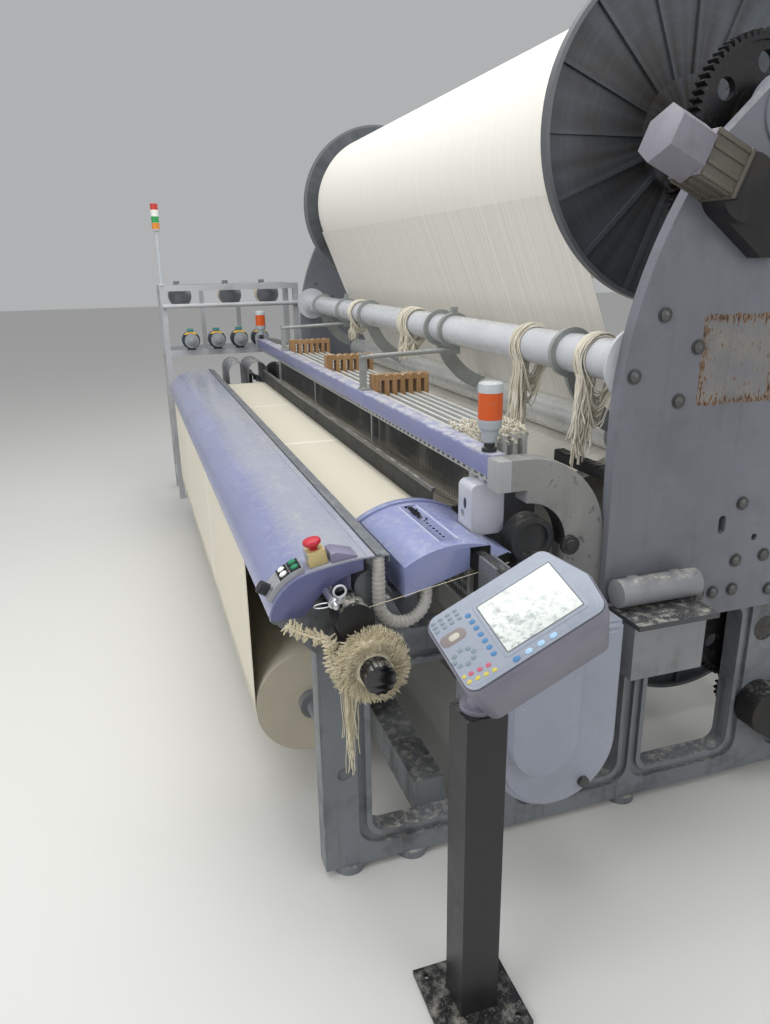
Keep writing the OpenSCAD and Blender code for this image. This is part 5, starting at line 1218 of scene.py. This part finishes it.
def tuft(root, tip, count, spread, gather):
    """Strands from round a root point that draw together at the tip."""
    lines = []
    bow = scatter(0.3, 0.3, 0.3) * (tip - root).length * 0.3
    for k in range(count):
        start = root + scatter(spread, spread, spread)
        end = root + (tip - root) * rng.uniform(0.7, 1.05)
        end += scatter(gather, gather, gather)
        lines.append([start.lerp(end, i / 4) + bow * math.sin(math.pi * i / 4) for i in range(5)])
    return lines


ruff, ruff_count = [], 3000
for k in range(ruff_count):
    on_end = k % 4 == 0
    a, run = rng.uniform(0, 2 * math.pi), wad_to - wad_from - 0.004 if on_end else rng.uniform(0.016, 0.068)
    out = Vector((0, math.cos(a), math.sin(a)))
    lean = 0.35 * math.sin(3 * a + 1) + 0.2 * math.sin(7 * a)
    sweep = Vector((0.45 if on_end else rng.gauss(0.1, 0.3), -out.z * (0.45 + lean), out.y * (0.45 + lean)))
    reach = rng.uniform(0.036, 0.060) if on_end else wad_reach(run) - 0.004
    root = Vector((wad_from + run, roller_mid.y, roller_mid.z)) + out * reach
    tip = root + (out + sweep + scatter(0.16, 0.16, 0.16)).normalized() * rng.uniform(0.016, 0.030)
    bow = scatter(0.0022, 0.0022, 0.0022)
    ruff.append([root.lerp(tip, i / 4) + bow * math.sin(math.pi * i / 4) for i in range(5)])
ruff_yarn = yarn("ruff_yarn", "EFE6CE", "CFC3A1")
threads("waste_ruff", ruff, 0.0007, ruff_yarn, "waste_roller")

# Strip of cut fringe that is drawn to the roller: tufted band past the bracket, and a tail off the wad.
# It comes from under the cover's near end, and a thin selvedge thread runs back to the right end cover.
drawn = [Vector(p) for p in ((1.800, -0.905, 0.776), (1.812, -0.885, 0.764), (1.826, -0.862, 0.757),
                             (1.840, -0.842, 0.752), (1.856, -0.826, 0.757), (1.866, -0.822, 0.742),
                             (1.872, -0.824, 0.722), (1.880, -0.822, 0.702), (1.888, -0.812, 0.684),
                             (1.892, -0.800, 0.668))]
tail_at = Vector((1.900, -0.792, 0.672))
band = []
for a, b in zip(drawn, drawn[1:]):
    for k in range(12):
        root = a.lerp(b, rng.random())
        side = (b - a).cross(Vector((1, 0, 0))).normalized() * rng.choice((-1, 1, 1))
        tip = root + side * rng.uniform(0.010, 0.022) + (a - b).normalized() * rng.uniform(0.0, 0.010)
        band += tuft(root, tip, 9, 0.0022, 0.0014)
for k in range(14):
    off = scatter(0.003, 0.003, 0.003)
    band.append([p + off + Vector((0, 0, rng.gauss(0, 0.0008))) for p in drawn])
for k in range(46):
    root = tail_at + scatter(0.005, 0.007, 0.004)
    length, drift = rng.uniform(0.10, 0.25), rng.gauss(0, 0.006)
    band.append([root + Vector((drift * (i / 8) ** 2 + 0.004 * i / 8, 0.003 * math.sin(i + k) * i / 8,
                                -length * i / 8)) for i in range(9)])
selvedge_from, selvedge_to = Vector((1.860, -0.787, 0.809)), Vector((1.787, -0.345, 0.846))
band.append([selvedge_from.lerp(selvedge_to, i / 6) for i in range(7)])
threads("waste_fringe", band, 0.0008, ruff_yarn, "root")
chrome = metal("spindle_chrome", "D4D6D8", rough=0.16, lines=(90, 2, 2), dirty=0.1, lint=0.15, metallic=1.0)
spindle = turned([(0, 1.800), (0.0085, 1.800), (0.0085, 1.862), (0.0125, 1.864), (0.0125, 1.872),
                  (0.0085, 1.874), (0.0075, 1.890), (0.0060, 1.894), (0, 1.895)], along="X",
                 at=(0, -0.812, 0.846), steps=32)
piece("guide_spindle", spindle, chrome, "root", 25)
loop_mid, loop_half = Vector((1.858, -0.812 - 0.020, 0.838)), (0.022, 0.0055)
hook = [(loop_mid.x, loop_mid.y + loop_half[0] * math.cos(math.radians(15 * i)),
         loop_mid.z + loop_half[1] * math.sin(math.radians(15 * i))) for i in range(25)]
piece("guide_loop", strands([hook], 0.0014, 2), chrome, "root", 40)

# Feeder stand at the far end: welded square tubes in white paint.
# Cone holders and weft feeders are clamped to it.
stand_paint = painted("stand_paint", "B9BBBE", dirt="77746C", dirty=0.4, streaks=0.3, lint=0.8)
dress(stand_paint, "feeder_stand", slot="stand_white")
body_x, drum_x, mark_x = (-1.9955, -1.940), (-1.9395, -1.90), (-1.9965, -1.9885)
block_z, mark_z = (1.1352, 2.0), (1.1155, 1.1305)


def feeder_parts(material, tone):
    """Dark body, steel drum in front of it, teal block on top and a yellow mark on the edge."""
    tone = mixed(material, zone(material, 0, *body_x), tone, "2C3440")
    tone = mixed(material, zone(material, 0, *drum_x), tone, "8D9194")
    tone = mixed(material, zone(material, 2, *block_z), tone, "2F7B76")
    high = zone(material, 2, *mark_z)
    return mixed(material, times(material, high, zone(material, 0, *mark_x)), tone, "DDB23C")


feeder_paint = painted("feeder_paint", "22344C", dirt="4A4A4A", dirty=0.4, streaks=0.1, lint=0.8, rough=0.4,
                       over=feeder_parts)
softened("feeders", 0.0015, feeder_paint)

# Yarn cones with grey domed guards, on pegs between the stand's rails.
# The cotton is wound in close turns and drawn off towards the feeders.
cone_x = (-2.2505, -2.1095)


def cone_parts(material, tone):
    """Cream yarn up to the cone's small end; the dome beyond it and the peg stay grey."""
    wound_part = zone(material, 0, *cone_x)
    turns = maths(material, "PINGPONG", times(material, axes(material)[0], 300.0), 0.5)
    return mixed(material, wound_part, tone, mixed(material, turns, "DFD6BC", "BDB292"))


guard_grey = painted("guard_grey", "73757C", dirt="55534E", dirty=0.4, lint=0.9, over=cone_parts, rough=0.4)
softened("yarn_cones", 0.001, guard_grey)

# Rail and step cover outside the near frame: pale tube on brackets over a steel box with a dark top.
# Both are bolted to the frame.
step_z = (0.6755, 0.6905)


def step_top(material, tone):
    """Dark upper face of the step box."""
    return mixed(material, zone(material, 2, *step_z), tone, "45474A")


guard_paint = painted("guard_paint", "919397", dirt="57544D", dirty=0.6, streaks=0.5, lint=0.8, over=step_top)
softened("side_guard", 0.002, guard_paint)

# Suction hose between the covers: ribbed plastic, grey with lint.
# It is pushed over a stub at each end.
dress(moulded("hose_plastic", "C3C1BB", 0.5, "8A877E", 0.5), "suction_hose", slot="hose_grey")
